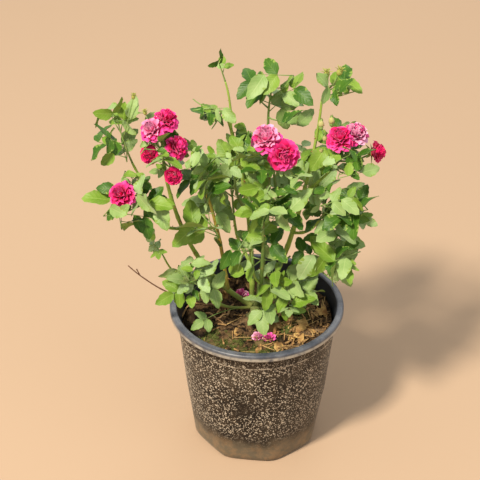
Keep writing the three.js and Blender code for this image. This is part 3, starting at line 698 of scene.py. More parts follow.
    def grow_pedicels(self, mass: Mass) -> None:
        """Grows the stalks of the blooms and buds, from high on the stem to under each head.

        Args:
            mass: The mass that bears them.
        """
        for i, bloom in enumerate(mass.blooms):
            under = 0.5 if bloom.diameter < self.rule.bud_below else 0.25
            below = np.array(bloom.centre) - unit(bloom.facing) * (bloom.diameter * under)
            start = mass.twigs[0].curve.point(0.5 + 0.4 * (i + 0.5) / len(mass.blooms))
            mass.pedicels.append(Stretch(start, below, UP * (-0.1 * float(np.linalg.norm(below - start)))))

    def grow_mass(self, mass: Mass) -> None:
        """Grows a mass as in its solid: a stem, side shoots, and the best leaf at each place.

        Args:
            mass: The mass, still empty.
        """
        limb = self.limbs[mass.plan.limb]
        heading = limb.curve.heading(1)
        root = limb.curve.tip + heading * CLEARANCE
        tip = np.array(mass.plan.tip, float)
        control = root + heading * (float(np.linalg.norm(tip - root)) * 0.5)
        mass.twigs.append(Twig(Stretch(root, tip, (control - (root + tip) / 2) / 2), limb.end))
        self.grow_shoots(mass, limb)
        self.grow_pedicels(mass)
        mass.barred += [curve.pieces(1, 4) for curve in [t.curve for t in mass.twigs] + mass.pedicels]
        for k, twig in enumerate(mass.twigs):
            sites = mass.plan.leaves if k == 0 else max(2, mass.plan.leaves - 1)
            for j in range(sites):
                share = 0.12 + 0.88 * (j + 1) / sites
                self.add_leaf(mass, twig.curve, share, self.rule.effort, j == sites - 1)

    def add_leaf(self, mass: Mass, axis: Stretch, share: float, effort: Effort, last: bool) -> None:
        """Tries several ways at one place and keeps the leaf with the most leaflets.

        Args:
            mass: The mass that it grows in.
            axis: The stem or twig that it grows from.
            share: Where along that.
            effort: How hard to try.
            last: Whether the place is the twig's tip.
        """
        best: Leaf | None = None
        start = axis.point(share)
        outward = (start - mass.centre) / mass.radii
        for tried in range(effort.tries):
            mass.spin()
            rise = mass.draws.span(-0.35, 0.8)
            scale = mass.draws.span(*effort.scales)
            aim = unit(mass.way(cos(rise), sin(rise)) + outward * self.rule.outward)
            if last and tried == 0:
                aim = unit(axis.heading(1) + aim * 0.5)
            leaf = self.grow_leaf(mass, start, aim, scale)
            if leaf and (best is None or len(leaf.blades) > len(best.blades)):
                best = leaf
            if best and len(best.blades) >= effort.enough:
                break
        if best:
            best.radius = effort.stalk
            mass.leaves.append(best)
            mass.blades.extend(best.blades)
            mass.barred.append(best.rachis.pieces(best.furthest, 2))

    def fill_mass(self, mass: Mass) -> None:
        """Carries a mass to finer twigs and smaller leaves, by the same tests.

        Args:
            mass: The mass, as its solid has it.
        """
        fine = self.fine
        mass.draws = Draws(mass.plan.seed + fine.seed_step)
        for twig in list(mass.twigs):
            self.add_leaf(mass, twig.curve, fine.at, fine.effort, False)
            finer = self.grow_fine_twig(mass, twig)
            if finer:
                mass.twigs.append(finer)
                mass.barred.append(finer.curve.pieces(1, 3))
                for j in range(fine.sites):
                    share = 0.35 + 0.65 * (j + 1) / fine.sites
                    self.add_leaf(mass, finer.curve, share, fine.effort, j == fine.sites - 1)

    def grow_fine_twig(self, mass: Mass, twig: Twig) -> Twig | None:
        """Grows a finer twig from a stem or shoot.

        Args:
            mass: The mass that it grows in.
            twig: What it grows from.

        Returns:
            The twig, or None where it would leave the space or meet something each time.
        """
        start = twig.curve.point(self.fine.at)
        for _ in range(4):
            mass.spin(0.5)
            height = mass.draws.span(*self.fine.heights)
            way = mass.way(sqrt(1 - height * height), height)
            length = mass.size * mass.draws.span(*self.fine.reach)
            curve = Stretch(start, start + way * length, UP * (self.fine.lift * length))
            steps = curve.points(np.linspace(0.25, 1, 4))
            free = self.inside(mass, steps, 2) and self.clear(steps, 1.8)
            if free and not any(o.pierced(*curve.pieces(1, 5)) for o in mass.blades):
                return Twig(curve, twig.radius * self.rule.thinning)
        return None


def axes_turn(along: Array, normal: Array) -> Quaternion:
    """The turn that lays X along one way and Z as near as it can along another."""
    ways = np.array((unit(along), unit(np.cross(normal, unit(along)))))
    return Matrix((*ways, np.cross(*ways))).transposed().to_quaternion()


def around(facing: Array) -> tuple[Array, Array]:
    """Two unit ways at right angles to a way and to each other."""
    side = unit(np.cross(facing, UP if abs(facing[2]) < 0.9 else (1.0, 0.0, 0.0)))
    return side, np.cross(facing, side)


def leaning(facing: Array, turn: float, lean: float) -> Ways:
    """Three ways about a facing.

    Args:
        facing: The way faced, one long.
        turn: How far round it.
        lean: How far over from it.

    Returns:
        Out from it at the turn, over from it by the lean, and square to that on its inner side.
    """
    side, over = around(facing)
    out = side * cos(turn) + over * sin(turn)
    return out, facing * cos(lean) + out * sin(lean), facing * sin(lean) - out * cos(lean)


def ring(radius: float, height: float, count: int, high: float = 1.0) -> list[Point]:
    """Points round Z, on a circle that is squeezed along Y where high is less than one."""
    turns = np.arange(count) * (FULL_TURN / count)
    return [(cos(a) * radius, sin(a) * radius * high, height) for a in turns]


def tube(places: Array, radii: Array | float, sides: int) -> Shape:
    """A closed bar round a line of places.

    Args:
        places: The places, one a row.
        radii: The radius, or one for each place, or a row of them for each with one a side.
        sides: How many sides the bar has.

    Returns:
        Its vertices and faces.
    """
    ways = np.gradient(places, axis=0)
    ways /= np.linalg.norm(ways, axis=1)[:, None]
    radii = np.asarray(radii, float)
    if radii.ndim < 2:
        radii = np.broadcast_to(radii.reshape(-1, 1), (len(places), sides))
    turns = np.arange(sides) * (FULL_TURN / sides)
    across = around(ways[0])[0]
    rings = []
    faces: list[tuple[int, ...]] = [tuple(reversed(range(sides)))]
    for i, (place, way, reach) in enumerate(zip(places, ways, radii)):
        across = unit(across - way * float(across @ way))
        loop = np.cos(turns)[:, None] * across + np.sin(turns)[:, None] * np.cross(way, across)
        rings.append(place + loop * reach[:, None])
        low, high = (i - 1) * sides, i * sides
        if i:
            faces += [(low + k, low + n, high + n, high + k) for k, n in enumerate((*range(1, sides), 0))]
    faces.append(tuple(range(high, high + sides)))
    return np.vstack(rings), faces


def turned(profile: Sequence[tuple[float, float]], sides: int) -> Shape:
    """A closed turned shape about Z, from a profile that starts and ends on the axis.

    Args:
        profile: Radius and height of each corner.
        sides: How many sides it has.

    Returns:
        Its vertices and faces, facing out where the profile runs from the bottom up its outside.
    """
    middle = profile[1:-1]
    verts = [(0.0, 0.0, profile[0][1])]
    for radius, height in middle:
        verts += ring(radius, height, sides)
    verts.append((0.0, 0.0, profile[-1][1]))
    faces: list[tuple[int, ...]] = []
    for k in range(sides):
        n = (k + 1) % sides
        faces.append((0, 1 + n, 1 + k))
        for low in range(1, 1 + (len(middle) - 1) * sides, sides):
            high = low + sides
            faces.append((low + k, low + n, high + n, high + k))
        low = len(verts) - 1 - sides
        faces.append((low + k, low + n, len(verts) - 1))
    return np.array(verts), faces


def thin_blade(rows: int, cols: int, half: float, place: Callable[[float, float], Point]) -> SheetShape:
    """A closed thin sheet, thickest in its middle, with an upper and an under side that share a rim.

    Args:
        rows: Cells along it.
        cols: Cells across it.
        half: Half its thickness.
        place: Gives a point for a share along it, 0 to 1, and across it, -1 to 1.

    Returns:
        Its vertices and faces, each vertex's place on the sheet, and for each face whether it is under.
    """
    grid = np.array([[place(i / rows, 2 * j / cols - 1) for j in range(cols + 1)] for i in range(rows + 1)])
    normals = np.cross(np.gradient(grid, axis=0), np.gradient(grid, axis=1))
    normals /= np.linalg.norm(normals, axis=2)[..., None] + 1e-12
    verts, spots, index = [], [], {}
    for i, j in np.ndindex(rows + 1, cols + 1):
        rim = i in (0, rows) or j in (0, cols)
        for hand in (1,) if rim else (1, -1):
            index[i, j, hand] = len(verts)
            verts.append(grid[i, j] + normals[i, j] * (0 if rim else half * hand))
            spots.append((i / rows, j / cols))
        if rim:
            index[i, j, -1] = index[i, j, 1]
    faces, under = [], []
    for hand in (1, -1):
        for i, j in np.ndindex(rows, cols):
            corners = [index[i + a, j + b, hand] for a, b in ((0, 0), (1, 0), (1, 1), (0, 1))]
            faces.append(tuple(corners[::hand]))
            under.append(hand < 0)
    return (np.array(verts), faces), spots, under


def show(name: str, data: bpy.types.ID) -> Object:
    """Makes an object of a mesh, a light or a camera and puts it in the scene.

    Args:
        name: Its name.
        data: What it shows.

    Returns:
        The object.
    """
    piece = bpy.data.objects.new(name, data)
    bpy.context.scene.collection.objects.link(piece)
    return piece


def settle(piece: Object, slot: str, *nodes: str) -> None:
    """Rides a finished piece on the body, hides the nodes of the solids that it stands for, and reports it.

    Args:
        piece: The piece.
        slot: Not used.
        nodes: The nodes of the solids that it stands for.
    """
    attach(piece, "root")
    if nodes:
        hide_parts(*nodes)
    triangles = sum(len(p.vertices) - 2 for p in piece.data.polygons)
    LOG.info("%s: %d triangles, stands for %s", piece.name, triangles, ", ".join(nodes) or "nothing")


@dataclass
class MeshParts:
    """Many closed shapes gathered into one mesh, in millimetres."""

    verts: list[Array] = field(default_factory=list)
    faces: list[tuple[int, ...]] = field(default_factory=list)
    finish: list[int] = field(default_factory=list)
    count: int = 0

    def add(self, shape: Shape, finish: int | Sequence[int] = 0) -> None:
        """Adds a shape.

        Args:
            shape: Its vertices and faces.
            finish: The number of its finish, or a number for each face.
        """
        verts, faces = shape
        self.verts.append(np.asarray(verts, float))
        self.faces.extend(tuple(v + self.count for v in face) for face in faces)
        self.finish.extend([finish] * len(faces) if isinstance(finish, int) else finish)
        self.count += len(verts)

    def make(self, name: str, *finishes: Finish) -> Object:
        """Makes the object, in metres, with smooth faces.

        Args:
            name: Its name.
            finishes: Its finishes, in the order of their numbers.

        Returns:
            The object, in the scene.
        """
        mesh = bpy.data.meshes.new(name)
        mesh.from_pydata((np.vstack(self.verts) * MM).tolist(), [], self.faces)
        for finish in finishes:
            mesh.materials.append(finish.material())
        mesh.polygons.foreach_set("material_index", self.finish)
        mesh.shade_smooth()
        return show(name, mesh)


class Nodes:
    """A tree of nodes, added and fed by short calls."""

    def __init__(self, tree: bpy.types.NodeTree) -> None:
        """Keeps the tree that the nodes go into."""
        self.tree = tree

    def feed(self, target: Socket, value: object) -> None:
        """Links a socket to what feeds it, or sets its value.

        Args:
            target: The socket.
            value: A wire or socket, or a plain value.
        """
        source = value.socket if isinstance(value, Wire) else value
        if isinstance(source, Socket):
            self.tree.links.new(source, target)
        elif isinstance(source, tuple) and target.type == "RGBA":
            target.default_value = (*source, 1.0)
        else:
            target.default_value = source

    def add(self, kind: str, feeds: dict, **settings: object) -> bpy.types.bpy_prop_collection:
        """Adds a node.

        Args:
            kind: What it is.
            feeds: What feeds its inputs, by name or number.
            settings: Its settings.

        Returns:
            Its outputs.
        """
        node = self.tree.nodes.new(kind)
        for name, value in settings.items():
            setattr(node, name, value)
        for key, value in feeds.items():
            self.feed(node.inputs[key], value)
        return node.outputs


@dataclass(frozen=True)
class Wire:
    """A value in a material's tree, with which sums are written plainly."""

    paint: Paint
    socket: Socket

    def __add__(self, other: Wire | float) -> Wire:
        """The sum of two values."""
        return self.paint.math("ADD", self, other)

    def __sub__(self, other: Wire | float) -> Wire:
        """One value less another."""
        return self.paint.math("SUBTRACT", self, other)

    def __mul__(self, other: Wire | float) -> Wire:
        """The product of two values."""
        return self.paint.math("MULTIPLY", self, other)


class Paint(Nodes):
    """The nodes of one material."""

    def __init__(self, name: str) -> None:
        """Starts a material with a plain shader.

        Args:
            name: The material's name.
        """
        self.material = bpy.data.materials.new(name)
        self.material.use_nodes = True
        super().__init__(self.material.node_tree)
        self.shader = self.tree.nodes["Principled BSDF"]
        self.coords = self.add("ShaderNodeTexCoord", {})

    def set(self, colour: Wire | Colour, rough: Wire | float, specular: float) -> None:
        """Sets the shader's colour, roughness and specular level."""
        for name, value in (("Base Color", colour), ("Roughness", rough), ("Specular IOR Level", specular)):
            self.feed(self.shader.inputs[name], value)

    def velvet(self, weight: float, rough: float, tint: Colour) -> None:
        """Sets the shader's sheen."""
        for name, value in (("Weight", weight), ("Roughness", rough), ("Tint", tint)):
            self.feed(self.shader.inputs["Sheen " + name], value)

    def stretched(self, along: float) -> Socket:
        """Object coordinates, scaled along the height."""
        scale = {"Vector": self.coords["Object"], "Scale": (1.0, 1.0, along)}
        return self.add("ShaderNodeMapping", scale)["Vector"]

    def split(self, kind: str) -> list[Wire]:
        """The three parts of the coordinates of one kind."""
        return [Wire(self, out) for out in self.add("ShaderNodeSeparateXYZ", {0: self.coords[kind]})]

    def weight(self, name: str) -> Wire:
        """A weight that the mesh carries."""
        return Wire(self, self.add("ShaderNodeAttribute", {}, attribute_name=name)["Fac"])

    def noise(self, scale: float, detail: float = 3, rough: float = 0.55, at: Socket | None = None) -> Wire:
        """A noise, about 0.5, on Object coordinates or on those given, this fine for a metre."""
        feeds = {"Vector": at or self.coords["Object"], "Scale": scale, "Detail": detail, "Roughness": rough}
        return Wire(self, self.add("ShaderNodeTexNoise", feeds)["Fac"])

    def cells(self, scale: float, at: Socket | None = None) -> Wire:
        """The distance to the nearest of scattered points."""
        feeds = {"Vector": at or self.coords["Object"], "Scale": scale}
        return Wire(self, self.add("ShaderNodeTexVoronoi", feeds)["Distance"])

    def math(self, operation: str, one: Wire | float, other: Wire | float = 0.0) -> Wire:
        """The result of one sum on two values."""
        return Wire(self, self.add("ShaderNodeMath", {0: one, 1: other}, operation=operation)[0])

    def step(self, value: Wire, low: float, high: float) -> Wire:
        """A value that rises smoothly from 0 at low to 1 at high, or falls where low is the larger.

        Args:
            value: What it follows.
            low: Where it is 0.
            high: Where it is 1.

        Returns:
            The value.
        """
        feeds = {"Value": value, "From Min": min(low, high), "From Max": max(low, high)}
        ends = {"To Min": float(low > high), "To Max": float(low < high)}
        outputs = self.add("ShaderNodeMapRange", feeds | ends, interpolation_type="SMOOTHSTEP")
        return Wire(self, outputs["Result"])

    def mix(self, share: Wire | float, one: Wire | Colour, other: Wire | Colour) -> Wire:
        """One colour blended into another by a share."""
        return Wire(self, self.add("ShaderNodeMix", {"Factor": share, 6: one, 7: other}, data_type="RGBA")[2])

    def bump(self, value: Wire, strength: float, distance: float) -> None:
        """Raises the surface by a value, that far in metres."""
        feeds = {"Strength": strength, "Distance": distance, "Height": value}
        self.feed(self.shader.inputs["Normal"], self.add("ShaderNodeBump", feeds)["Normal"])


@dataclass(frozen=True)
class Finish:
    """A material of the plant, its pot or its soil."""

    name: str

    @cache
    def material(self) -> Material:
        """The material, made when it is first asked for.

        Returns:
            The material.
        """
        paint = Paint(self.name)
        self.lay_on(paint)
        return paint.material

    def lay_on(self, p: Paint) -> None:
        """Adds the finish's own nodes."""
        raise NotImplementedError


@dataclass(frozen=True)
class LeafFinish(Finish):
    """A leaflet's surface: two near greens, and veins that follow its own map."""

    colour: Colour
    second: Colour
    vein: Colour
    roughness: float = 0.5
    sheen: float = 0.02

    def lay_on(self, p: Paint) -> None:
        """Blends the two greens in soft patches and draws the slanting veins over them.

        Args:
            p: The material's nodes.
        """
        along, across, _ = p.split("UV")
        off = p.math("ABSOLUTE", across - 0.5)
        wave = p.math("SINE", (along - off * 0.55) * (7 * FULL_TURN))
        veins = p.math("MAXIMUM", p.step(wave, 0.8, 1.0) * 0.35, p.step(off, 0.035, 0.012))
        blade = p.mix(p.step(p.noise(55, 2), 0.35, 0.65), self.colour, self.second)
        p.set(p.mix(veins * 0.55, blade, self.vein), self.roughness, 0.26)
        p.velvet(self.sheen, 0.5, (0.9, 1.0, 0.9))
        p.bump(p.noise(900, 2) * 0.25 + wave * 0.25 - veins * 0.6, 0.35, 0.0006)


@dataclass(frozen=True)
class PetalFinish(Finish):
    """A petal's surface: one colour at its root and another at its lip, with fine streaks."""

    root: Colour
    lip: Colour

    def lay_on(self, p: Paint) -> None:
        """Blends the root's colour into the lip's along the petal.

        Args:
            p: The material's nodes.
        """
        streaks = p.noise(700, 2)
        along = p.split("UV")[0] + (streaks - 0.5) * 0.3
        p.set(p.mix(p.step(along, 0.35, 1.0), self.root, self.lip), 0.55, 0.3)
        p.velvet(0.2, 0.4, (1.0, 0.6, 0.75))
        p.bump(streaks, 0.25, 0.0004)


@dataclass(frozen=True)
class BarkFinish(Finish):
    """A cane's skin: green that is streaked, browner towards its foot, with small pale pores."""

    colour: Colour
    streak: Colour
    foot: Colour
    foot_from: float = 0.225
    foot_to: float = 0.165
    roughness: float = 0.5
    pore: Colour = (0.5, 0.45, 0.3)

    def lay_on(self, p: Paint) -> None:
        """Streaks the skin along the cane, browns its foot and sets the pores.

        Args:
            p: The material's nodes.
        """
        along = p.stretched(0.18)
        streaks = p.noise(420, 4, 0.6, along)
        skin = p.mix(p.step(streaks, 0.42, 0.68), self.colour, self.streak)
        low = p.step(p.split("Object")[2] + p.noise(60) * 0.03, self.foot_from, self.foot_to)
        pores = p.step(p.cells(520, along), 0.16, 0.08)
        p.set(p.mix(pores * 0.5, p.mix(low, skin, self.foot), self.pore), self.roughness, 0.4)
        p.bump(streaks + pores * 0.5, 0.5, 0.0005)


@dataclass(frozen=True)
class DryFinish(Finish):
    """Dead stalk, straw and litter: two tans in streaks."""

    colour: Colour
    second: Colour
    scale: float = 260
    roughness: float = 0.85

    def lay_on(self, p: Paint) -> None:
        """Streaks one tan with the other.

        Args:
            p: The material's nodes.
        """
        streaks = p.noise(self.scale, 4, 0.65)
        p.set(p.mix(p.step(streaks, 0.35, 0.65), self.colour, self.second), self.roughness, 0.2)
        p.bump(streaks, 0.6, 0.0006)


@dataclass(frozen=True)
class WallFinish(Finish):
    """The pot's dusty outer wall: black plastic under brown dirt and a spatter of pale lime spots."""

    name: str = "pot_wall"
    plastic: Colour = (0.008, 0.0055, 0.004)
    dirt: Colour = (0.036, 0.024, 0.014)
    film: Colour = (0.12, 0.092, 0.06)
    spot: Colour = (0.5, 0.43, 0.33)
    band: Colour = (0.155, 0.128, 0.085)
    worn: Colour = (0.25, 0.17, 0.095)
    band_top: float = 0.04
    ledge: float = 0.1552
    spatter: tuple[Point, ...] = ((150, 0.39, 0.3), (270, 0.44, 0.33), (440, 0.5, 0.38))

    def lay_on(self, p: Paint) -> None:
        """Dirties the plastic, spatters its middle, lines the ledge and wears the band at the foot.

        Args:
            p: The material's nodes.
        """
        height = p.split("Object")[2]
        wall = p.mix(p.step(p.noise(70, 6, 0.7), 0.4, 0.64), self.plastic, self.dirt)
        runs = p.step(p.noise(110, 4, 0.6, p.stretched(0.05)), 0.42, 0.7)
        wall = p.mix(p.step(p.noise(14, 3), 0.5, 0.7) * (runs * 0.5 + 0.2), wall, self.film)
        middle = p.step(height, 0.028, 0.055) * p.step(height, 0.176, 0.15)
        dense = p.step(p.noise(26, 3), 0.26, 0.5) * (middle * 0.85 + 0.15)
        over: Wire | float = 0.0
        for scale, low, high in self.spatter:
            edge = p.cells(scale) + p.noise(scale * 4, 2) * 0.3
            over = p.math("MAXIMUM", over, p.step(edge, low, high) * dense)
        wall = p.mix(over, wall, self.spot)
        ledge = self.ledge
        line = p.step(height, ledge - 0.001, ledge) * p.step(height, ledge + 0.0014, ledge)
        wall = p.mix(line * (p.step(p.noise(90, 4), 0.42, 0.62) + 0.12), wall, self.spot)
        low_band = p.step(height + (p.noise(45, 3) - 0.5) * 0.03, self.band_top, self.band_top * 0.4)
        worn = p.mix(p.step(p.noise(80, 5, 0.7), 0.42, 0.64), self.band, self.worn)
        p.set(p.mix(low_band * 0.9, wall, worn), over * 0.3 + 0.5, 0.25)
        p.velvet(0.14, 0.35, (0.95, 0.85, 0.7))
        p.bump(over * 0.6 + p.noise(500, 3) * 0.4, 0.45, 0.0006)


@dataclass(frozen=True)
class RimFinish(Finish):
    """The pot's rolled rim and its inside: plain plastic, rubbed grey, with dirt in the low places."""

    plastic: Colour
    rubbed: Colour
    dirt: Colour
    share: float = 0.6
    dusty_below: float = 0.0
    dust: Colour = (0.4, 0.365, 0.3)

    def lay_on(self, p: Paint) -> None:
        """Rubs the plastic, adds grime and specks, and dusts the rim's underside where there is one.

        Args:
            p: The material's nodes.
        """
        base = p.mix(p.step(p.noise(60, 5, 0.66), 0.3, 0.72) * self.share, self.plastic, self.rubbed)
        grime = p.step(p.noise(26, 5, 0.7), 0.54, 0.74) * 0.6
        specks = p.step(p.cells(420), 0.2, 0.1)
        base = p.mix(p.math("MAXIMUM", grime, specks * 0.5), base, self.dirt)
        if self.dusty_below:
            low = p.step(p.split("Object")[2], self.dusty_below + 0.0012, self.dusty_below - 0.0012)
            base = p.mix(low * p.step(p.noise(90, 4, 0.6), 0.25, 0.6), base, self.dust)
        p.set(base, grime * 0.4 + 0.38, 0.5)
        p.bump(p.noise(260, 4), 0.25, 0.0004)


@dataclass(frozen=True)
class SoilFinish(Finish):
    """The soil's surface: dark crumbs, paler dry ground, moss, and painted shade in the hollow, where the
    mesh says so.
    """

    name: str = "soil_top"
    dark: Colour = (0.011, 0.007, 0.004)
    brown: Colour = (0.14, 0.082, 0.038)
    dry: Colour = (0.27, 0.175, 0.09)
    moss: tuple[Colour, Colour] = ((0.05, 0.06, 0.012), (0.16, 0.19, 0.05))

    def lay_on(self, p: Paint) -> None:
        """Crumbles dark into brown, then adds dry and dark patches, the hollow's painted shade, and moss.

        Args:
            p: The material's nodes.
        """
        ground = p.mix(p.step(p.noise(130, 6, 0.75), 0.43, 0.55), self.dark, self.brown)
        ground = p.mix(p.step(p.noise(48, 3), 0.52, 0.66) * 0.8, ground, self.dry)
        ground = p.mix(p.step(p.noise(62, 4, 0.6), 0.5, 0.38) * 0.75, ground, self.dark)
        patch = p.weight("moss") * p.step(p.noise(75, 5, 0.7), 0.46, 0.56)
        # painted shade: darkens the hollow by the left wall as far as the mesh's weight says
        ground = p.mix(p.weight("damp"), ground, self.dark)
        p.set(p.mix(patch, ground, p.mix(p.noise(500), *self.moss)), 0.95, 0.15)
        p.bump(p.noise(300, 6, 0.7) + p.cells(600) * 0.5, 0.9, 0.0014)


@dataclass(frozen=True)
class FloorFinish(Finish):
    """The plain pale floor."""

    name: str = "floor"
    colour: Colour = (0.485, 0.345, 0.232)

    def lay_on(self, p: Paint) -> None:
        """Sets a plain matt colour."""
        p.set(self.colour, 0.9, 0.2)


@dataclass
class ShapeShelf:
    """Small shapes kept out of the scene, for trees of nodes to set many times."""

    name: str

    def __post_init__(self) -> None:
        """Makes the collection that holds the shapes."""
        self.collection = bpy.data.collections.new(self.name)

    def add(self, shape: Shape, spots: Sequence[Pair] = (), under: Sequence[bool] = ()) -> None:
        """Adds a shape, whose kind is its place in the order of adding, with a crisp rim to its under side.

        Args:
            shape: Its vertices, in its own unit, and its faces.
            spots: Each vertex's place on the shape's own map.
            under: For each face, whether it takes the under finish.
        """
        verts, faces = shape
        mesh = bpy.data.meshes.new(f"{self.name}_{len(self.collection.objects):02d}")
        mesh.from_pydata(np.asarray(verts, float).tolist(), [], faces)
        if spots:
            corners = np.array(spots, np.float32)[[v for face in faces for v in face]]
            mesh.uv_layers.new(name="UVMap").data.foreach_set("uv", corners.ravel())
        flags = list(under) or [False] * len(faces)
        mesh.attributes.new("under", "BOOLEAN", "FACE").data.foreach_set("value", flags)
        mesh.shade_smooth()
        sides: dict[tuple[int, int], set[bool]] = {}
        for polygon, below in zip(mesh.polygons, flags):
            for key in polygon.edge_keys:
                sides.setdefault(key, set()).add(below)
        if any(flags):
            sharp = mesh.attributes.new("sharp_edge", "BOOLEAN", "EDGE")
            sharp.data.foreach_set("value", [len(sides[edge.key]) > 1 for edge in mesh.edges])
        self.collection.objects.link(bpy.data.objects.new(mesh.name, mesh))


def baked(piece: Object) -> bpy.types.Mesh:
    """Takes what a piece's modifiers give as a plain mesh, and removes them.

    Args:
        piece: The piece.

    Returns:
        The mesh.
    """
    shown = piece.evaluated_get(bpy.context.evaluated_depsgraph_get())
    mesh = bpy.data.meshes.new_from_object(shown)
    piece.modifiers.clear()
    return mesh


class NodeField(Nodes):
    """A tree of geometry nodes with named inputs, which sets shapes and makes them real."""

    def __init__(self, name: str, **inputs: str) -> None:
        """Starts a tree.

        Args:
            name: The tree's name.
            inputs: The kind of each input besides the geometry, the shapes and the two finishes.
        """
        super().__init__(bpy.data.node_groups.new(name, "GeometryNodeTree"))
        ends = {"Geometry": "Geometry", "Shapes": "Collection", "Upper": "Material", "Under": "Material"}
        for label, kind in (ends | inputs).items():
            self.tree.interface.new_socket(label, in_out="INPUT", socket_type="NodeSocket" + kind)
        self.tree.interface.new_socket("Geometry", in_out="OUTPUT", socket_type="NodeSocketGeometry")
        self.entry = self.add("NodeGroupInput", {})

    def named(self, label: str | Socket, kind: str) -> Socket:
        """An attribute of one kind that the geometry carries."""
        return self.add("GeometryNodeInputNamedAttribute", {"Name": label}, data_type=kind)["Attribute"]

    def set_shapes(self, feeds: dict[str, Socket]) -> None:
        """Ends the tree: shapes set on points and made real, with an upper and an under finish.

        Args:
            feeds: What gives the points, and the turn, the size and the kind at each.
        """
        entry = self.entry
        shelf = {"Collection": entry["Shapes"], "Separate Children": True, "Reset Children": True}
        feeds = feeds | {"Pick Instance": True, "Instance": self.add("GeometryNodeCollectionInfo", shelf)[0]}
        shapes = self.add("GeometryNodeInstanceOnPoints", feeds)
        real = self.add("GeometryNodeRealizeInstances", {0: shapes[0]})
        upper = self.add("GeometryNodeSetMaterial", {"Geometry": real[0], "Material": entry["Upper"]})
        below = {"Selection": self.named("under", "BOOLEAN"), "Material": entry["Under"]}
        under = self.add("GeometryNodeSetMaterial", {"Geometry": upper[0], **below})
        self.add("NodeGroupOutput", {0: under[0]})

    def run(self, name: str, geometry: bpy.types.Mesh, **values: object) -> Object:
        """Runs the tree on a mesh and gives the result as a plain object.

        Args:
            name: The result's name.
            geometry: What the tree starts from.
            values: The inputs, by name.

        Returns:
            The result, in the scene.
        """
        holder = show(name + "_start", geometry)
        modifier = holder.modifiers.new("nodes", "NODES")
        modifier.node_group = self.tree
        for item in self.tree.interface.items_tree:
            if item.in_out == "INPUT" and item.name in values:
                modifier[item.identifier] = values[item.name]
        mesh = baked(holder)
        bpy.data.objects.remove(holder)
        mesh.name = name
        return show(name, mesh)


class SettingTree(NodeField):
    """Sets shapes on points that carry a turn, a size and a kind."""

    def __init__(self) -> None:
        """Builds the tree."""
        super().__init__("set_shapes")
        self.set_shapes({
            "Points": self.entry["Geometry"],
            "Instance Index": self.named("kind", "INT"),
            "Rotation": self.named("turn", "QUATERNION"),
            "Scale": self.named("size", "FLOAT_VECTOR"),
        })


@cache
def setting_tree() -> SettingTree:
    """The one tree by which every cloud sets its shapes."""
    return SettingTree()


class SprinkleTree(NodeField):
    """Sprinkles shapes over a surface, as thickly as its weight says."""

    def __init__(self) -> None:
        """Builds the tree."""
        floats = dict.fromkeys(("Density", "Smallest", "Largest", "Tilt"), "Float")
        super().__init__("sprinkle_shapes", **floats, Seed="Int", Weight="String")
        entry = self.entry
        seed = {"Seed": entry["Seed"]}
        weight = self.named(entry["Weight"], "FLOAT")
        thick = self.add("ShaderNodeMath", {0: entry["Density"], 1: weight}, operation="MULTIPLY")
        ground = {"Mesh": entry["Geometry"], "Density": thick[0], **seed}
        spread = self.add("GeometryNodeDistributePointsOnFaces", ground)
        tilt = self.add("ShaderNodeCombineXYZ", {"X": entry["Tilt"], "Y": entry["Tilt"], "Z": pi})
        back = self.add("ShaderNodeVectorMath", {0: tilt[0], "Scale": -1}, operation="SCALE")
        leans = {"Min": back[0], "Max": tilt[0], **seed}
        lean = self.add("FunctionNodeRandomValue", leans, data_type="FLOAT_VECTOR")
        euler = self.add("FunctionNodeEulerToRotation", {0: lean["Value"]})
        turns = {0: spread["Rotation"], 1: euler[0]}
        turn = self.add("FunctionNodeRotateRotation", turns, rotation_space="LOCAL")
        sizes = {2: entry["Smallest"], 3: entry["Largest"], **seed}
        size = self.add("FunctionNodeRandomValue", sizes, data_type="FLOAT")
        self.set_shapes({"Points": spread["Points"], "Rotation": turn[0], "Scale": size[1]})


@dataclass
class Cloud:
    """Places for shapes, each with its turn, its size and its kind, in millimetres."""

    rows: list[tuple[Array, Quaternion, Point, int]] = field(default_factory=list)

    def add(self, place: Array, turn: Quaternion, size: Point, kind: int = 0) -> None:
        """Adds one place, with the shape's turn, its scale along its own ways and its number on its shelf."""
        self.rows.append((place, turn, size, kind))

    def make(self, name: str, shelf: ShapeShelf, upper: Finish, under: Finish | None = None) -> Object:
        """Sets the shapes and gives the result as one object.

        Args:
            name: Its name.
            shelf: The shapes.
            upper: The finish.
            under: The finish of the under sides, where it differs.

        Returns:
            The object, in the scene.
        """
        places, turns, sizes, kinds = zip(*self.rows)
        mesh = bpy.data.meshes.new(name + "_points")
        mesh.vertices.add(len(places))
        mesh.vertices.foreach_set("co", (np.array(places) * MM).ravel())
        for label, kind, part, values in (
            ("turn", "QUATERNION", "value", np.array(turns, np.float32).ravel()),
            ("size", "FLOAT_VECTOR", "vector", (np.array(sizes, np.float32) * MM).ravel()),
            ("kind", "INT", "value", kinds),
        ):
            mesh.attributes.new(label, kind, "POINT").data.foreach_set(part, values)
        finishes = {"Upper": upper.material(), "Under": (under or upper).material()}
        return setting_tree().run(name, mesh, Shapes=shelf.collection, **finishes)


class Green(Enum):
    """The greens of the leaves, dealt out a spray at a time."""

    DEEP = "deep"
    MID = "mid"
    SHEEN = "sheen"
    PALE = "pale"


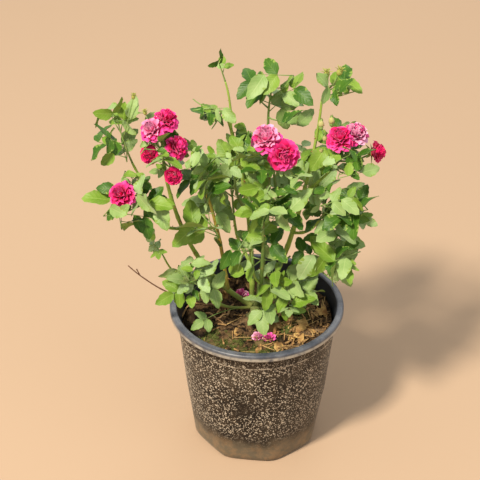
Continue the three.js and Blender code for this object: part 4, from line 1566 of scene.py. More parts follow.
LEAF_FINISHES = {
    Green.DEEP: LeafFinish("leaf_deep", (0.03, 0.1, 0.005), (0.06, 0.15, 0.011), (0.14, 0.24, 0.04), 0.42),
    Green.MID: LeafFinish("leaf_mid", (0.13, 0.245, 0.018), (0.19, 0.31, 0.036), (0.3, 0.42, 0.09), 0.46),
    Green.SHEEN: LeafFinish(
        "leaf_sheen", (0.2, 0.32, 0.085), (0.27, 0.39, 0.13), (0.38, 0.48, 0.19), 0.46, 0.2
    ),
    Green.PALE: LeafFinish("leaf_pale", (0.24, 0.37, 0.13), (0.3, 0.43, 0.18), (0.42, 0.51, 0.26), 0.48),
}
LEAF_UNDER = LeafFinish("leaf_under", (0.17, 0.27, 0.04), (0.22, 0.32, 0.06), (0.3, 0.39, 0.1), 0.65, 0.05)
CALYX = LeafFinish("calyx", (0.16, 0.32, 0.06), (0.22, 0.38, 0.09), (0.28, 0.42, 0.14), 0.5)

BARK_FINISHES = {
    Bark.GREEN: BarkFinish("bark_green", (0.25, 0.38, 0.05), (0.34, 0.44, 0.08), (0.24, 0.26, 0.07)),
    Bark.OLIVE: BarkFinish("bark_olive", (0.1, 0.18, 0.035), (0.16, 0.22, 0.05), (0.1, 0.1, 0.035)),
    Bark.AMBER: BarkFinish("bark_amber", (0.42, 0.31, 0.05), (0.3, 0.3, 0.06), (0.13, 0.14, 0.045)),
    Bark.DRY: BarkFinish(
        "bark_dry", (0.12, 0.055, 0.03), (0.19, 0.1, 0.055), (0.12, 0.06, 0.03), roughness=0.8
    ),
}
TWIG_BARK = BarkFinish("bark_twig", (0.16, 0.29, 0.06), (0.24, 0.3, 0.09), (0.16, 0.2, 0.06), 0.19, 0.16)
CROWN_BARK = BarkFinish(
    "bark_crown", (0.13, 0.16, 0.04), (0.2, 0.2, 0.07), (0.05, 0.035, 0.02), 0.182, 0.166, 0.8
)

PALE_PETAL = PetalFinish("petal_pale", (0.82, 0.1, 0.32), (0.9, 0.36, 0.58))
MAGENTA_PETAL = PetalFinish("petal_magenta", (0.74, 0.002, 0.16), (0.87, 0.06, 0.32))
CRIMSON_PETAL = PetalFinish("petal_crimson", (0.58, 0.001, 0.05), (0.74, 0.012, 0.15))
FADED_PETAL = PetalFinish("petal_faded", (0.6, 0.04, 0.24), (0.84, 0.42, 0.6))
BUD_PETAL = PetalFinish("petal_cream", (0.45, 0.42, 0.16), (0.75, 0.3, 0.24))
FALLEN_PETAL = PetalFinish("petal_fallen", (0.5, 0.008, 0.2), (0.82, 0.13, 0.44))
PETAL_FINISHES = {
    "petals_pale": PALE_PETAL,
    "petals_magenta": MAGENTA_PETAL,
    "petals_crimson": CRIMSON_PETAL,
    "petals_faded": FADED_PETAL,
}

DRY_LEAF = DryFinish("dry_leaf", (0.56, 0.37, 0.13), (0.26, 0.125, 0.045), 70)
PRICKLE = DryFinish("prickle", (0.3, 0.11, 0.05), (0.42, 0.24, 0.1), 400, 0.5)
SPENT_CALYX = DryFinish("calyx_spent", (0.37, 0.43, 0.1), (0.3, 0.27, 0.06), 500)
STRAW = DryFinish("straw", (0.62, 0.43, 0.17), (0.42, 0.26, 0.1), 400)
CHAFF = DryFinish("chaff", (0.46, 0.28, 0.11), (0.16, 0.085, 0.035), 300)
ROOTLET = DryFinish("rootlet", (0.46, 0.3, 0.14), (0.3, 0.16, 0.07), 200)
CRUMB = DryFinish("crumb", (0.018, 0.01, 0.005), (0.21, 0.125, 0.055), 75, 0.95)
MOSS = DryFinish("moss", (0.075, 0.11, 0.02), (0.16, 0.2, 0.045), 500, 0.9)


class PotPart(IntEnum):
    """The parts of the pot that look different, in the order of their finishes."""

    WALL = 0
    RIM = 1
    INNER = 2
    FOOT = 3


POT_FINISHES = (
    WallFinish(),
    RimFinish("pot_rim", (0.04, 0.048, 0.066), (0.15, 0.16, 0.18), (0.26, 0.22, 0.16), 0.7, 0.1762),
    RimFinish("pot_inner", (0.022, 0.025, 0.03), (0.075, 0.085, 0.1), (0.07, 0.05, 0.035), 0.5),
    RimFinish("pot_foot", (0.03, 0.028, 0.027), (0.09, 0.08, 0.07), (0.2, 0.16, 0.12)),
)


def arc(r: float, z: float, reach: float, turns: tuple[float, float, int]) -> list[Pair]:
    """Corners of a profile round a middle, from one turn in degrees to another, this many."""
    return [(r + reach * cos(a), z + reach * sin(a)) for a in np.radians(np.linspace(*turns))]


@dataclass
class Pot:
    """The moulded nursery pot: a tapering wall on a softly eight-sided foot, a ledge and a rolled rim."""

    height: float = 180
    rim_depth: float = 8.5
    neck_radius: float = 93.6
    ledge_below_rim: float = 25
    ledge: float = 1.4
    foot_radius: float = 75.5
    foot_round: float = 5
    wall: float = 2.4
    floor: float = 3
    foot_flat: float = 0.065
    corner_round: float = 0.02
    flat_turn: float = radians(15)
    flats_end: float = 70
    segments: int = 160
    drains: int = 4
    drain_radius: float = 4.5
    drain_circle: float = 50

    def wall_at(self, height: float) -> float:
        """The outer radius of the plain wall at a height."""
        rise = self.neck_radius - self.ledge - self.foot_radius
        return self.foot_radius + rise * height / (self.height - self.rim_depth)

    def place(self, verts: Array) -> Array:
        """Presses the foot's flats into round rings and turns them as the pot stands.

        Args:
            verts: Points of a shape turned about the upright axis.

        Returns:
            The points as they are on the pot.
        """
        turns = np.arctan2(verts[:, 1], verts[:, 0]) + FULL_TURN
        corner = np.abs(turns / (pi / 4) % 1 - 0.5) * 2
        reach = np.maximum(0, 1 - verts[:, 2] / self.flats_end)
        rounded = self.corner_round * np.clip((corner - 0.6) / 0.4, 0, 1) ** 2
        share = 1 - (self.foot_flat * (1 - corner**2) + rounded) * reach
        radius = np.hypot(verts[:, 0], verts[:, 1]) * share
        turns = turns + self.flat_turn
        return np.stack((radius * np.cos(turns), radius * np.sin(turns), verts[:, 2]), axis=1)

    def profile(self) -> list[tuple[float, float, PotPart]]:
        """The outline of half the pot, from the middle of its foot round to its floor.

        Returns:
            The radius and height of each corner, and the part that starts there.
        """
        sole = self.foot_radius - self.foot_round
        low = self.height - self.ledge_below_rim
        ledge = self.wall_at(low) + self.ledge
        rows = {
            PotPart.FOOT: [(0, 0), (sole - 1.4, 0)],
            PotPart.WALL: [
                *arc(sole, self.foot_round, self.foot_round, (-80, -10, 6)),
                *((self.wall_at(z), z) for z in (5, 9, 16, 26, 38, 54, 70, 95, 120, 140, 152, low - 1)),
                (ledge - 0.5, low - 0.6), (ledge, low), (ledge, low + 0.8), (93.2, 166), (93.6, 170),
            ],
            PotPart.RIM: [
                (94.1, 170.9), (98.4, 171.3), *arc(98.2, 173.2, 1.8, (-70, 0, 5)),
                *arc(97.6, 177.6, 2.4, (0, 90, 6)), (96, 179.9), (94, 179.9), (92.7, 179.6),
            ],
            PotPart.INNER: [
                (92.05, 178.8), (91.8, 176), (91.2, 170.5),
                *((self.wall_at(z) - self.wall, z) for z in (low, 110, 70, 38, 12, 5)),
                (self.wall_at(5) - self.wall - 1.5, self.floor), (0, self.floor),
            ],
        }
        return [(r, z, part) for part, corners in rows.items() for r, z in corners]

    def build(self) -> None:
        """Builds the pot with its drain holes and dresses it."""
        line = self.profile()
        verts, faces = turned([(r, z) for r, z, _ in line], self.segments)
        parts = MeshParts()
        parts.add((self.place(verts), faces), [int(part) for _, _, part in line[:-1]] * self.segments)
        pot = parts.make("nursery_pot", *POT_FINISHES)
        self.bore(pot)
        pot.data.set_sharp_from_angle(angle=radians(50))
        settle(pot, "pot", "pot")

    def bore(self, pot: Object) -> None:
        """Cuts the drain holes through the pot's floor.

        Args:
            pot: The pot without its holes.
        """
        parts = MeshParts()
        for k in range(self.drains):
            a = pi / 4 + k * pi / 2 + self.flat_turn
            verts, faces = turned([(0, -4), (self.drain_radius, -4), (self.drain_radius, 8), (0, 8)], 24)
            away = np.array((cos(a), sin(a), 0)) * self.drain_circle
            parts.add((verts + away, faces), int(PotPart.FOOT))
        cutter = parts.make("drain_cutter", *POT_FINISHES)
        boolean = pot.modifiers.new("drains", "BOOLEAN")
        boolean.object = cutter
        boolean.solver = "EXACT"
        pot.data = baked(pot)
        bpy.data.objects.remove(cutter)


@dataclass
class Soil:
    """The soil in the pot: an uneven top with a hollow at the left, moss and crumbs."""

    pot: Pot
    level: float = 158
    rise: float = 4.5
    roughness: float = 1.6
    gap: float = 0.3
    patch: float = 26
    patch_blend: float = 18
    hollow: Point = (-84, -22, 15)
    hollow_reach: float = 38
    rings: int = 72
    sides: int = 180
    moss: tuple[Point, ...] = (
        (-31, -46, 20), (-50, -30, 16), (8, -66, 20), (44, 6, 20), (32, -26, 16), (-8, -74, 20),
    )
    edge_height: float = 146

    def height(self, x: Array | float, y: Array | float) -> Array | float:
        """The height of the soil's top, as its solid has it and with the hollow.

        Args:
            x: How far right, one or several.
            y: How far back.

        Returns:
            The height at each.
        """
        rough = np.sin(0.11 * x + 1.3) * np.cos(0.13 * y - 0.4) + 0.6 * np.sin(0.23 * x - 0.17 * y + 2.1)
        lift = self.rise * x / self.pot.neck_radius + self.roughness * rough
        away = np.hypot(x - StumpPlan.foot[0], y - StumpPlan.foot[1])
        blend = np.clip((away - self.patch) / self.patch_blend, 0, 1)
        blend = blend * blend * (3 - 2 * blend)
        sunk = np.hypot(x - self.hollow[0], (y - self.hollow[1]) * 0.7)
        sunk = np.clip(1 - sunk / self.hollow_reach, 0, 1)
        return self.level + lift * blend - self.hollow[2] * sunk * sunk * (3 - 2 * sunk)

    def top(self, x: float, y: float) -> float:
        """The height of the soil's top at one place, with its small lumps."""
        lumps = noise.noise(Vector((x * 0.1, y * 0.1, 0.3))) * 2.6
        return float(self.height(x, y)) + lumps + noise.noise(Vector((x * 0.33, y * 0.33, 4.1))) * 1.3

    def off_crown(self, x: float, y: float) -> float:
        """How far a place is from the plant's crown."""
        return hypot(x - StumpPlan.foot[0], y - StumpPlan.foot[1])

    def wall_radius(self, height: float) -> float:
        """The soil's radius against the pot's inner wall."""
        return self.pot.wall_at(height) - self.pot.wall - self.gap

    def any_place(self, limit: float, draws: Draws) -> tuple[float, float]:
        """Draws a place anywhere on the soil, this far from its middle at most."""
        a, r = draws.turn(), limit * sqrt(draws.share())
        return r * cos(a), r * sin(a)

    def build(self) -> Object:
        """Builds the soil, with a weight for each thing that is sprinkled on it.

        Returns:
            The soil.
        """
        edge = self.wall_radius(self.edge_height) - 0.4
        line = [(0.0, 3.3), (self.wall_radius(5) - 2.3, 3.3), (self.wall_radius(70) - 1.3, 70)]
        line.append((edge, self.edge_height))
        line += [(edge * (1 - (i / self.rings) ** 1.05), self.level) for i in range(self.rings)]
        verts, faces = turned([*line, (0.0, self.level)], self.sides)
        verts = self.pot.place(verts)
        on_top = verts[:, 2] > self.edge_height + 1
        radius = np.hypot(verts[:, 0], verts[:, 1])
        for i in np.flatnonzero(on_top):
            plain = float(self.height(verts[i, 0], verts[i, 1]))
            calm = min(1.0, (edge - radius[i]) / 3)
            verts[i, 2] = plain + (self.top(verts[i, 0], verts[i, 1]) - plain) * calm
        parts = MeshParts()
        parts.add((verts, faces))
        soil = parts.make("soil_bed", SoilFinish())
        self.weigh(soil, verts, on_top & (radius < edge - 2))
        settle(soil, "soil", "soil")
        return soil

    def weigh(self, soil: Object, verts: Array, open_top: Array) -> None:
        """Marks where moss and crumbs lie and how dark the hollow is painted as shade.

        Args:
            soil: The soil.
            verts: Its points, in millimetres.
            open_top: For each, whether it is on the open top.
        """
        moss = np.zeros(len(verts))
        for x, y, reach in self.moss:
            near = np.clip(1.25 - np.hypot(verts[:, 0] - x, verts[:, 1] - y) / reach, 0, 1)
            moss = np.maximum(moss, near)
        away = np.hypot(verts[:, 0] - self.hollow[0], (verts[:, 1] - self.hollow[1]) * 0.6)
        # painted shade: the weight that darkens the hollow by the left wall and keeps crumbs out of it
        damp = np.clip(1.6 * (1 - away / self.hollow_reach), 0, 0.9)
        for name, weight in (("moss", moss), ("crumbs", (1 - 0.5 * moss) * (1 - damp)), ("damp", damp)):
            layer = soil.data.attributes.new(name, "FLOAT", "POINT")
            layer.data.foreach_set("value", (weight * open_top).astype(np.float32))


@dataclass
class Crown:
    """The knobbly crown from which the canes rise, with old cuts."""

    plan: StumpPlan = StumpPlan()
    sides: int = 40
    flare: tuple[Pair, ...] = (
        (0, 0), (0.95, 0), (0.98, 0.04), (0.82, 0.14), (0.68, 0.3), (0.6, 0.48), (0.58, 0.64), (0.6, 0.78),
        (0.52, 0.9), (0.38, 0.98), (0.2, 1.02), (0, 1.04),
    )
    cuts: tuple[Point, ...] = ((40, 0.55, 9), (165, 0.5, 8), (285, 0.35, 6))
    cut_radii: tuple[float, ...] = (4.2, 3.8, 3.4, 3.3, 3.2, 2.7)

    def build(self) -> None:
        """Builds the crown and its cut stubs."""
        foot, top = np.array(self.plan.foot, float), np.array(self.plan.top, float)
        rise = top[2] - foot[2]
        verts, faces = turned([(r * self.plan.foot_radius, z * rise) for r, z in self.flare], self.sides)
        for i, v in enumerate(verts):
            turn = atan2(v[1], v[0])
            swell = 1 + 0.1 * sin(3 * turn + 0.8) + 0.06 * sin(7 * turn + v[2] * 0.3)
            swell += 0.1 * noise.noise(Vector(v) * 0.35)
            verts[i] = (v[0] * swell, v[1] * swell, v[2])
        verts[:, :2] += verts[:, 2:] / rise * (top - foot)[:2]
        verts[:, 2] += foot[2]
        parts = MeshParts()
        parts.add((verts, faces))
        for degrees, share, reach in self.cuts:
            a = radians(degrees)
            way = unit((cos(a), sin(a), 0.9))
            start = foot + (top - foot) * share + way * 3
            parts.add(tube(start + np.outer(np.linspace(0, reach, 6), way), np.array(self.cut_radii), 14))
        settle(parts.make("crown_bark", CROWN_BARK), "bark", "stump")


@dataclass
class Canes:
    """The canes and boughs: barked bars with nodes and prickles."""

    growth: Growth
    sides: int = 14
    step: float = 2.6
    node_every: float = 24
    node_swell: float = 0.16
    collar: float = 0.4
    prickle_every: float = 17
    prickle_length: float = 4.2

    def __post_init__(self) -> None:
        """Starts the draws."""
        self.draws = Draws(501)
        self.prickles = Cloud()

    def build(self) -> None:
        """Builds each limb's bark, and all the prickles."""
        for name, limb in self.growth.limbs.items():
            if name == "stump":
                continue
            dry = limb.plan.bark is Bark.DRY
            parts = MeshParts()
            parts.add(self.bark_of(limb))
            if dry:
                way = unit(limb.curve.heading(1) + UP * 0.9)
                snag = limb.curve.point(0.86) + np.outer(np.linspace(0, 9, 4), way)
                parts.add(tube(snag, np.array((0.6, 0.7, 0.6, 0.9)), 6))
            piece = parts.make(f"bark_{name}", BARK_FINISHES[limb.plan.bark])
            settle(piece, "dry_wood" if dry else "bark", name)
            if not dry:
                self.set_prickles(limb)
        shelf = ShapeShelf("prickle_shapes")
        shelf.add(self.prickle_shape())
        settle(self.prickles.make("prickles", shelf, PRICKLE), "bark")

    def bark_of(self, limb: Limb) -> Shape:
        """The bark of one limb: a bar that tapers, swells at its nodes and flares where it leaves its parent.

        Args:
            limb: The limb.

        Returns:
            Its shape.
        """
        length = limb.curve.length()
        shares = np.linspace(0, 1, max(8, round(length / self.step)) + 1)
        along = shares * length
        places = limb.curve.points(shares)
        radii = limb.radius(shares) * (1 + self.collar * np.exp(-((along / (limb.foot * 1.6)) ** 2)))
        at = self.node_every * self.draws.span(0.5, 1)
        offset = np.zeros_like(places)
        hand = 1.0
        side = around(limb.curve.heading(0.5))[0]
        while at < length:
            radii *= 1 + self.node_swell * np.exp(-(((along - at) / 2.4) ** 2))
            offset += np.outer(np.exp(-(((along - at) / 9) ** 2)) * hand * 0.45, side)
            hand = -hand
            at += self.node_every * self.draws.span(0.75, 1.2)
        rings = np.repeat(radii[:, None], self.sides, axis=1)
        for i, at in enumerate(along):
            for k, spot in enumerate(ring(1.4, at * 0.09 + limb.foot * 9, self.sides)):
                rings[i, k] *= 1 + 0.07 * noise.noise(Vector(spot)) + 0.025 * noise.noise(Vector(spot) * 5)
        return tube(places + offset * (shares * (1 - shares) * 4)[:, None], rings, self.sides)

    def prickle_shape(self) -> Shape:
        """A hooked prickle on a long foot, one long, with its point up Z and its hook to X.

        Returns:
            Its vertices and faces.
        """
        middle = [(x - 0.1, y, z) for x, y, z in ring(0.2, 0.35, 6, 0.5)]
        verts = np.array([*ring(0.42, -0.12, 6, 0.2 / 0.42), *middle, (-0.42, 0, 0.95), (0, 0, -0.2)])
        faces: list[tuple[int, ...]] = []
        for k in range(6):
            n = (k + 1) % 6
            faces += [(k, n, 6 + n, 6 + k), (6 + k, 6 + n, 12), (13, n, k)]
        return verts, faces

    def set_prickles(self, limb: Limb) -> None:
        """Sets prickles along a limb, hooked down it.

        Args:
            limb: The limb.
        """
        draws, length = self.draws, limb.curve.length()
        at = self.prickle_every * draws.span(0.5, 1.2)
        while at < length * 0.96:
            share = at / length
            heading, radius = limb.curve.heading(share), limb.radius(share)
            out = leaning(heading, draws.turn(), 0)[0]
            size = self.prickle_length * draws.span(0.6, 1) * min(1, radius / 2.2)
            place = limb.curve.point(share) + out * radius * 0.9
            self.prickles.add(place, axes_turn(heading, out), (size,) * 3)
            at += self.prickle_every * draws.span(0.6, 1.5)


@dataclass(frozen=True)
class Sheet:
    """A thin closed blade, one long and one wide, with its upper side up Z."""

    CELLS: ClassVar[tuple[int, int, float]]

    def place(self, t: float, u: float) -> Point:
        """A point of it, at a share along it and from -1 to 1 across."""
        raise NotImplementedError

    def shape(self) -> SheetShape:
        """Its shape, its map and its under side, in the rows and columns and the thickness of its kind."""
        return thin_blade(*self.CELLS, self.place)


@dataclass(frozen=True)
class Leaflet(Sheet):
    """A toothed, folded leaflet: how its tip droops, its margin waves and it twists."""

    CELLS: ClassVar[tuple[int, int, float]] = (8, 4, 0.007)
    droop: float
    wave: float
    twist: float
    phase: float
    tooth: float = 0.055
    fold: float = 0.2

    def place(self, t: float, u: float) -> Point:
        """A point of the leaflet.

        Args:
            t: Its share of the way along.
            u: How far to a side it is, from -1 to 1.

        Returns:
            The point.
        """
        row, rows = round(t * self.CELLS[0]), self.CELLS[0]
        half, saw = 0.012, 0.0
        if 0 < row < rows:
            if abs(u) > 0.99:
                saw = self.tooth if row % 2 else -self.tooth * 0.4
            half = 0.5 * sin(pi * (0.02 + 0.96 * t) ** 0.8) ** 0.85 + saw * 0.5
        y = u * half
        z = abs(y) * self.fold * (1 - 0.4 * t) - self.droop * t * t
        z += self.wave * sin(9 * t + self.phase + (1.7 if u > 0 else 0)) * abs(u) ** 2 * 0.1
        return (t - abs(u) * 0.015 + (0.02 if saw > 0 else 0), y, z + self.twist * y * t)


@dataclass(frozen=True)
class Petal(Sheet):
    """A petal, inner side up: how it curls, cups, turns back its lip and ruffles it."""

    CELLS: ClassVar[tuple[int, int, float]] = (4, 4, 0.012)
    bend: float
    cup: float
    lip: float
    ruffle: float
    phase: float

    def place(self, t: float, u: float) -> Point:
        """A point of the petal.

        Args:
            t: Its share of the way along.
            u: How far to a side it is, from -1 to 1.

        Returns:
            The point.
        """
        half = 0.5 * (0.3 + 0.7 * t**0.7) * (1 - 0.42 * t**5)
        x = t - 0.16 * u * u * t**2 - 0.04 * exp(-((u / 0.35) ** 2)) * t**3
        z = self.bend * t * t + self.cup * u * u * (0.3 + 0.7 * t) - self.lip * t**5
        return (x, u * half, z + self.ruffle * sin(7 * u + self.phase) * t**2)


@dataclass(frozen=True)
class Sepal(Sheet):
    """A sepal: how far it curls along it, and across."""

    CELLS: ClassVar[tuple[int, int, float]] = (4, 2, 0.02)
    bend: float
    cup: float

    def place(self, t: float, u: float) -> Point:
        """A point of the sepal, at a share along it and from -1 to 1 across."""
        half = 0.5 * sin(pi * (0.2 + 0.8 * t)) ** 0.7 * (1 - 0.3 * t) if t < 1 else 0.02
        return (t, u * half, self.bend * t * t + self.cup * u * u * (1 - t))


LEAFLETS = (
    Leaflet(0.1, 0.25, 0.1, 0), Leaflet(0.2, 0.4, -0.2, 1), Leaflet(0.06, 0.5, 0.25, 2),
    Leaflet(0.26, 0.3, 0.15, 4), Leaflet(0.15, 0.6, -0.3, 3),
)
DRY_LEAFLETS = (Leaflet(0.3, 0.9, 0.8, 0), Leaflet(-0.35, 0.8, -0.6, 2), Leaflet(0.15, 1.2, 0.4, 1))
PETALS = tuple(
    Petal(*row, phase)
    for row in ((0.3, 0.3, 0.1, 0.05), (0.24, 0.24, 0.22, 0.08), (0.2, 0.16, 0.34, 0.09))
    for phase in (0.0, 2.1, 4.0)
)
SEPALS = (Sepal(-0.2, 0.1), Sepal(0.3, 0.5))


def shelf_of(name: str, sheets: Sequence[Sheet]) -> ShapeShelf:
    """A shelf of thin blades.

    Args:
        name: Its name.
        sheets: The blades, in the order of their kinds.

    Returns:
        The shelf.
    """
    shelf = ShapeShelf(name)
    for sheet in sheets:
        shelf.add(*sheet.shape())
    return shelf


@dataclass
class Foliage:
    """The leaves and the twigs that bear them."""

    growth: Growth
    twig_sides: int = 8
    stalk_sides: int = 5
    grown: float = 1.06
    narrow: float = 0.95
    stray: float = 0.7
    # share of a mass's radii inside which leaves take mostly the deep green, as painted shade
    painted_shade_inside: float = 0.62
    bloom_ahead: float = 50
    bloom_share: float = 0.42
    blade_share: float = 0.2
    low_masses: tuple[str, ...] = ("left_sprig", "low_left", "low_centre")
    dark_masses: tuple[str, ...] = (
        "right_flowers", "right_low", "centre_flowers", "top_spray", "top", "top_right",
    )

    def __post_init__(self) -> None:
        """Starts the draws."""
        self.draws = Draws(601)
        self.outlook = unit((0, -0.8, 0.6))
        self.twigs = MeshParts()

    def hides_bloom(self, blade: Blade) -> bool:
        """Whether a leaflet stands before a flower, which grows clear of the leaves.

        Args:
            blade: The leaflet.

        Returns:
            True where it does.
        """
        for bloom in BLOOM_PLANS:
            apart = blade.middle - bloom.centre
            ahead = float(apart @ self.outlook)
            aside = float(np.linalg.norm(apart - self.outlook * ahead))
            near = bloom.diameter * self.bloom_share + blade.length * self.blade_share
            if 0 < ahead < self.bloom_ahead and aside < near:
                return True
        return False

    def green_of(self, mass: Mass, leaf: Leaf) -> Green:
        """Picks a leaf's green: mostly the deep green where it lies deep inside a mass, as painted shade, and
        mostly the paler greens at the mass's outside, as painted light.

        Args:
            mass: The mass that it grows in.
            leaf: The leaf.

        Returns:
            Its green.
        """
        tip, name = leaf.rachis.tip, mass.plan.name
        # painted light: away from a mass's shaded middle, the paler greens lead
        weights = (0.14, 0.3, 0.44, 0.12)
        if name == "right" and tip[0] > 105:
            weights = (0.05, 0.75, 0.15, 0.05)
        elif name in self.dark_masses:
            weights = (0.28, 0.34, 0.28, 0.1)
        elif name in self.low_masses:
            weights = (0.06, 0.28, 0.52, 0.14)
        # painted shade: a leaf whose tip lies deep inside its mass takes mostly the deep green
        elif np.linalg.norm((tip - mass.centre) / mass.radii) < self.painted_shade_inside:
            weights = (0.42, 0.32, 0.22, 0.04)
        return tuple(Green)[self.draws.pick(weights)]

    def build(self) -> None:
        """Builds the twigs and the leaves of every mass, a piece for each green."""
        clouds = {green: Cloud() for green in Green}
        for mass in self.growth.masses:
            self.add_twigs(mass)
            for leaf in mass.leaves:
                cloud = clouds[self.green_of(mass, leaf)]
                grown = self.grown if leaf.radius > self.growth.fine.effort.stalk else 1.0
                for blade in leaf.blades:
                    if not self.hides_bloom(blade):
                        own = cloud if self.draws.share() < self.stray else clouds[self.green_of(mass, leaf)]
                        self.set_leaflet(blade, grown, self.narrow, own)
        for leaf in self.growth.low_leaves:
            self.add_stalk(leaf, 9)
            for blade in leaf.blades:
                self.set_leaflet(blade, 1.0, 1.0, clouds[Green.SHEEN])
        names = [m.plan.name for m in self.growth.masses]
        settle(self.twigs.make("twigs", TWIG_BARK), "foliage", *names)
        shelf = shelf_of("leaflet_shapes", LEAFLETS)
        for green, cloud in clouds.items():
            piece = cloud.make(f"leaves_{green.value}", shelf, LEAF_FINISHES[green], LEAF_UNDER)
            settle(piece, "foliage", *names)

    def set_leaflet(self, blade: Blade, grown: float, narrow: float, cloud: Cloud) -> None:
        """Sets one leaflet where it grew, this much larger and this much narrower besides."""
        size = (blade.length * grown, blade.width * grown * narrow, blade.length * grown)
        cloud.add(blade.base, axes_turn(blade.along, blade.normal), size, self.draws.pick((1,) * 5))

    def add_twigs(self, mass: Mass) -> None:
        """Adds a mass's stem, shoots, finer twigs, leaf stalks and flower stalks.

        Args:
            mass: The mass.
        """
        for k, twig in enumerate(mass.twigs):
            shares = np.linspace(0, 1, 9 if k == 0 else 6)
            radii = twig.radius * (1 - 0.5 * shares)
            radii[0] *= 1.15
            places = twig.curve.points(shares)
            if k == 0:
                places[0] -= twig.curve.heading(0) * 2.2
                radii[0] = twig.radius
            self.twigs.add(tube(places, np.maximum(radii, 0.45), self.twig_sides))
        for leaf in mass.leaves:
            self.add_stalk(leaf, 4)
        shares = np.linspace(0, 1, 7)
        radii = 1.0 + 0.15 * np.cos(shares * 6.28)
        for pedicel in mass.pedicels:
            self.twigs.add(tube(pedicel.points(shares), radii, self.stalk_sides + 1))
        for head in SMALL_HEADS:
            if head.mass == mass.plan.name:
                below = np.array(head.centre) - unit(head.facing) * head.diameter * 0.6
                stalk = Stretch(mass.twigs[0].curve.point(0.55), below, UP * -2.0)
                self.twigs.add(tube(stalk.points(shares), 0.6, self.stalk_sides))

    def add_stalk(self, leaf: Leaf, count: int) -> None:
        """Adds a leaf's stalk, thickest at its foot.

        Args:
            leaf: The leaf.
            count: How many rings the stalk has.
        """
        shares = np.linspace(0, leaf.furthest, count)
        radii = leaf.radius * (1.5 - 0.8 * (shares / leaf.furthest) ** 0.5)
        self.twigs.add(tube(leaf.rachis.points(shares), radii, self.stalk_sides))


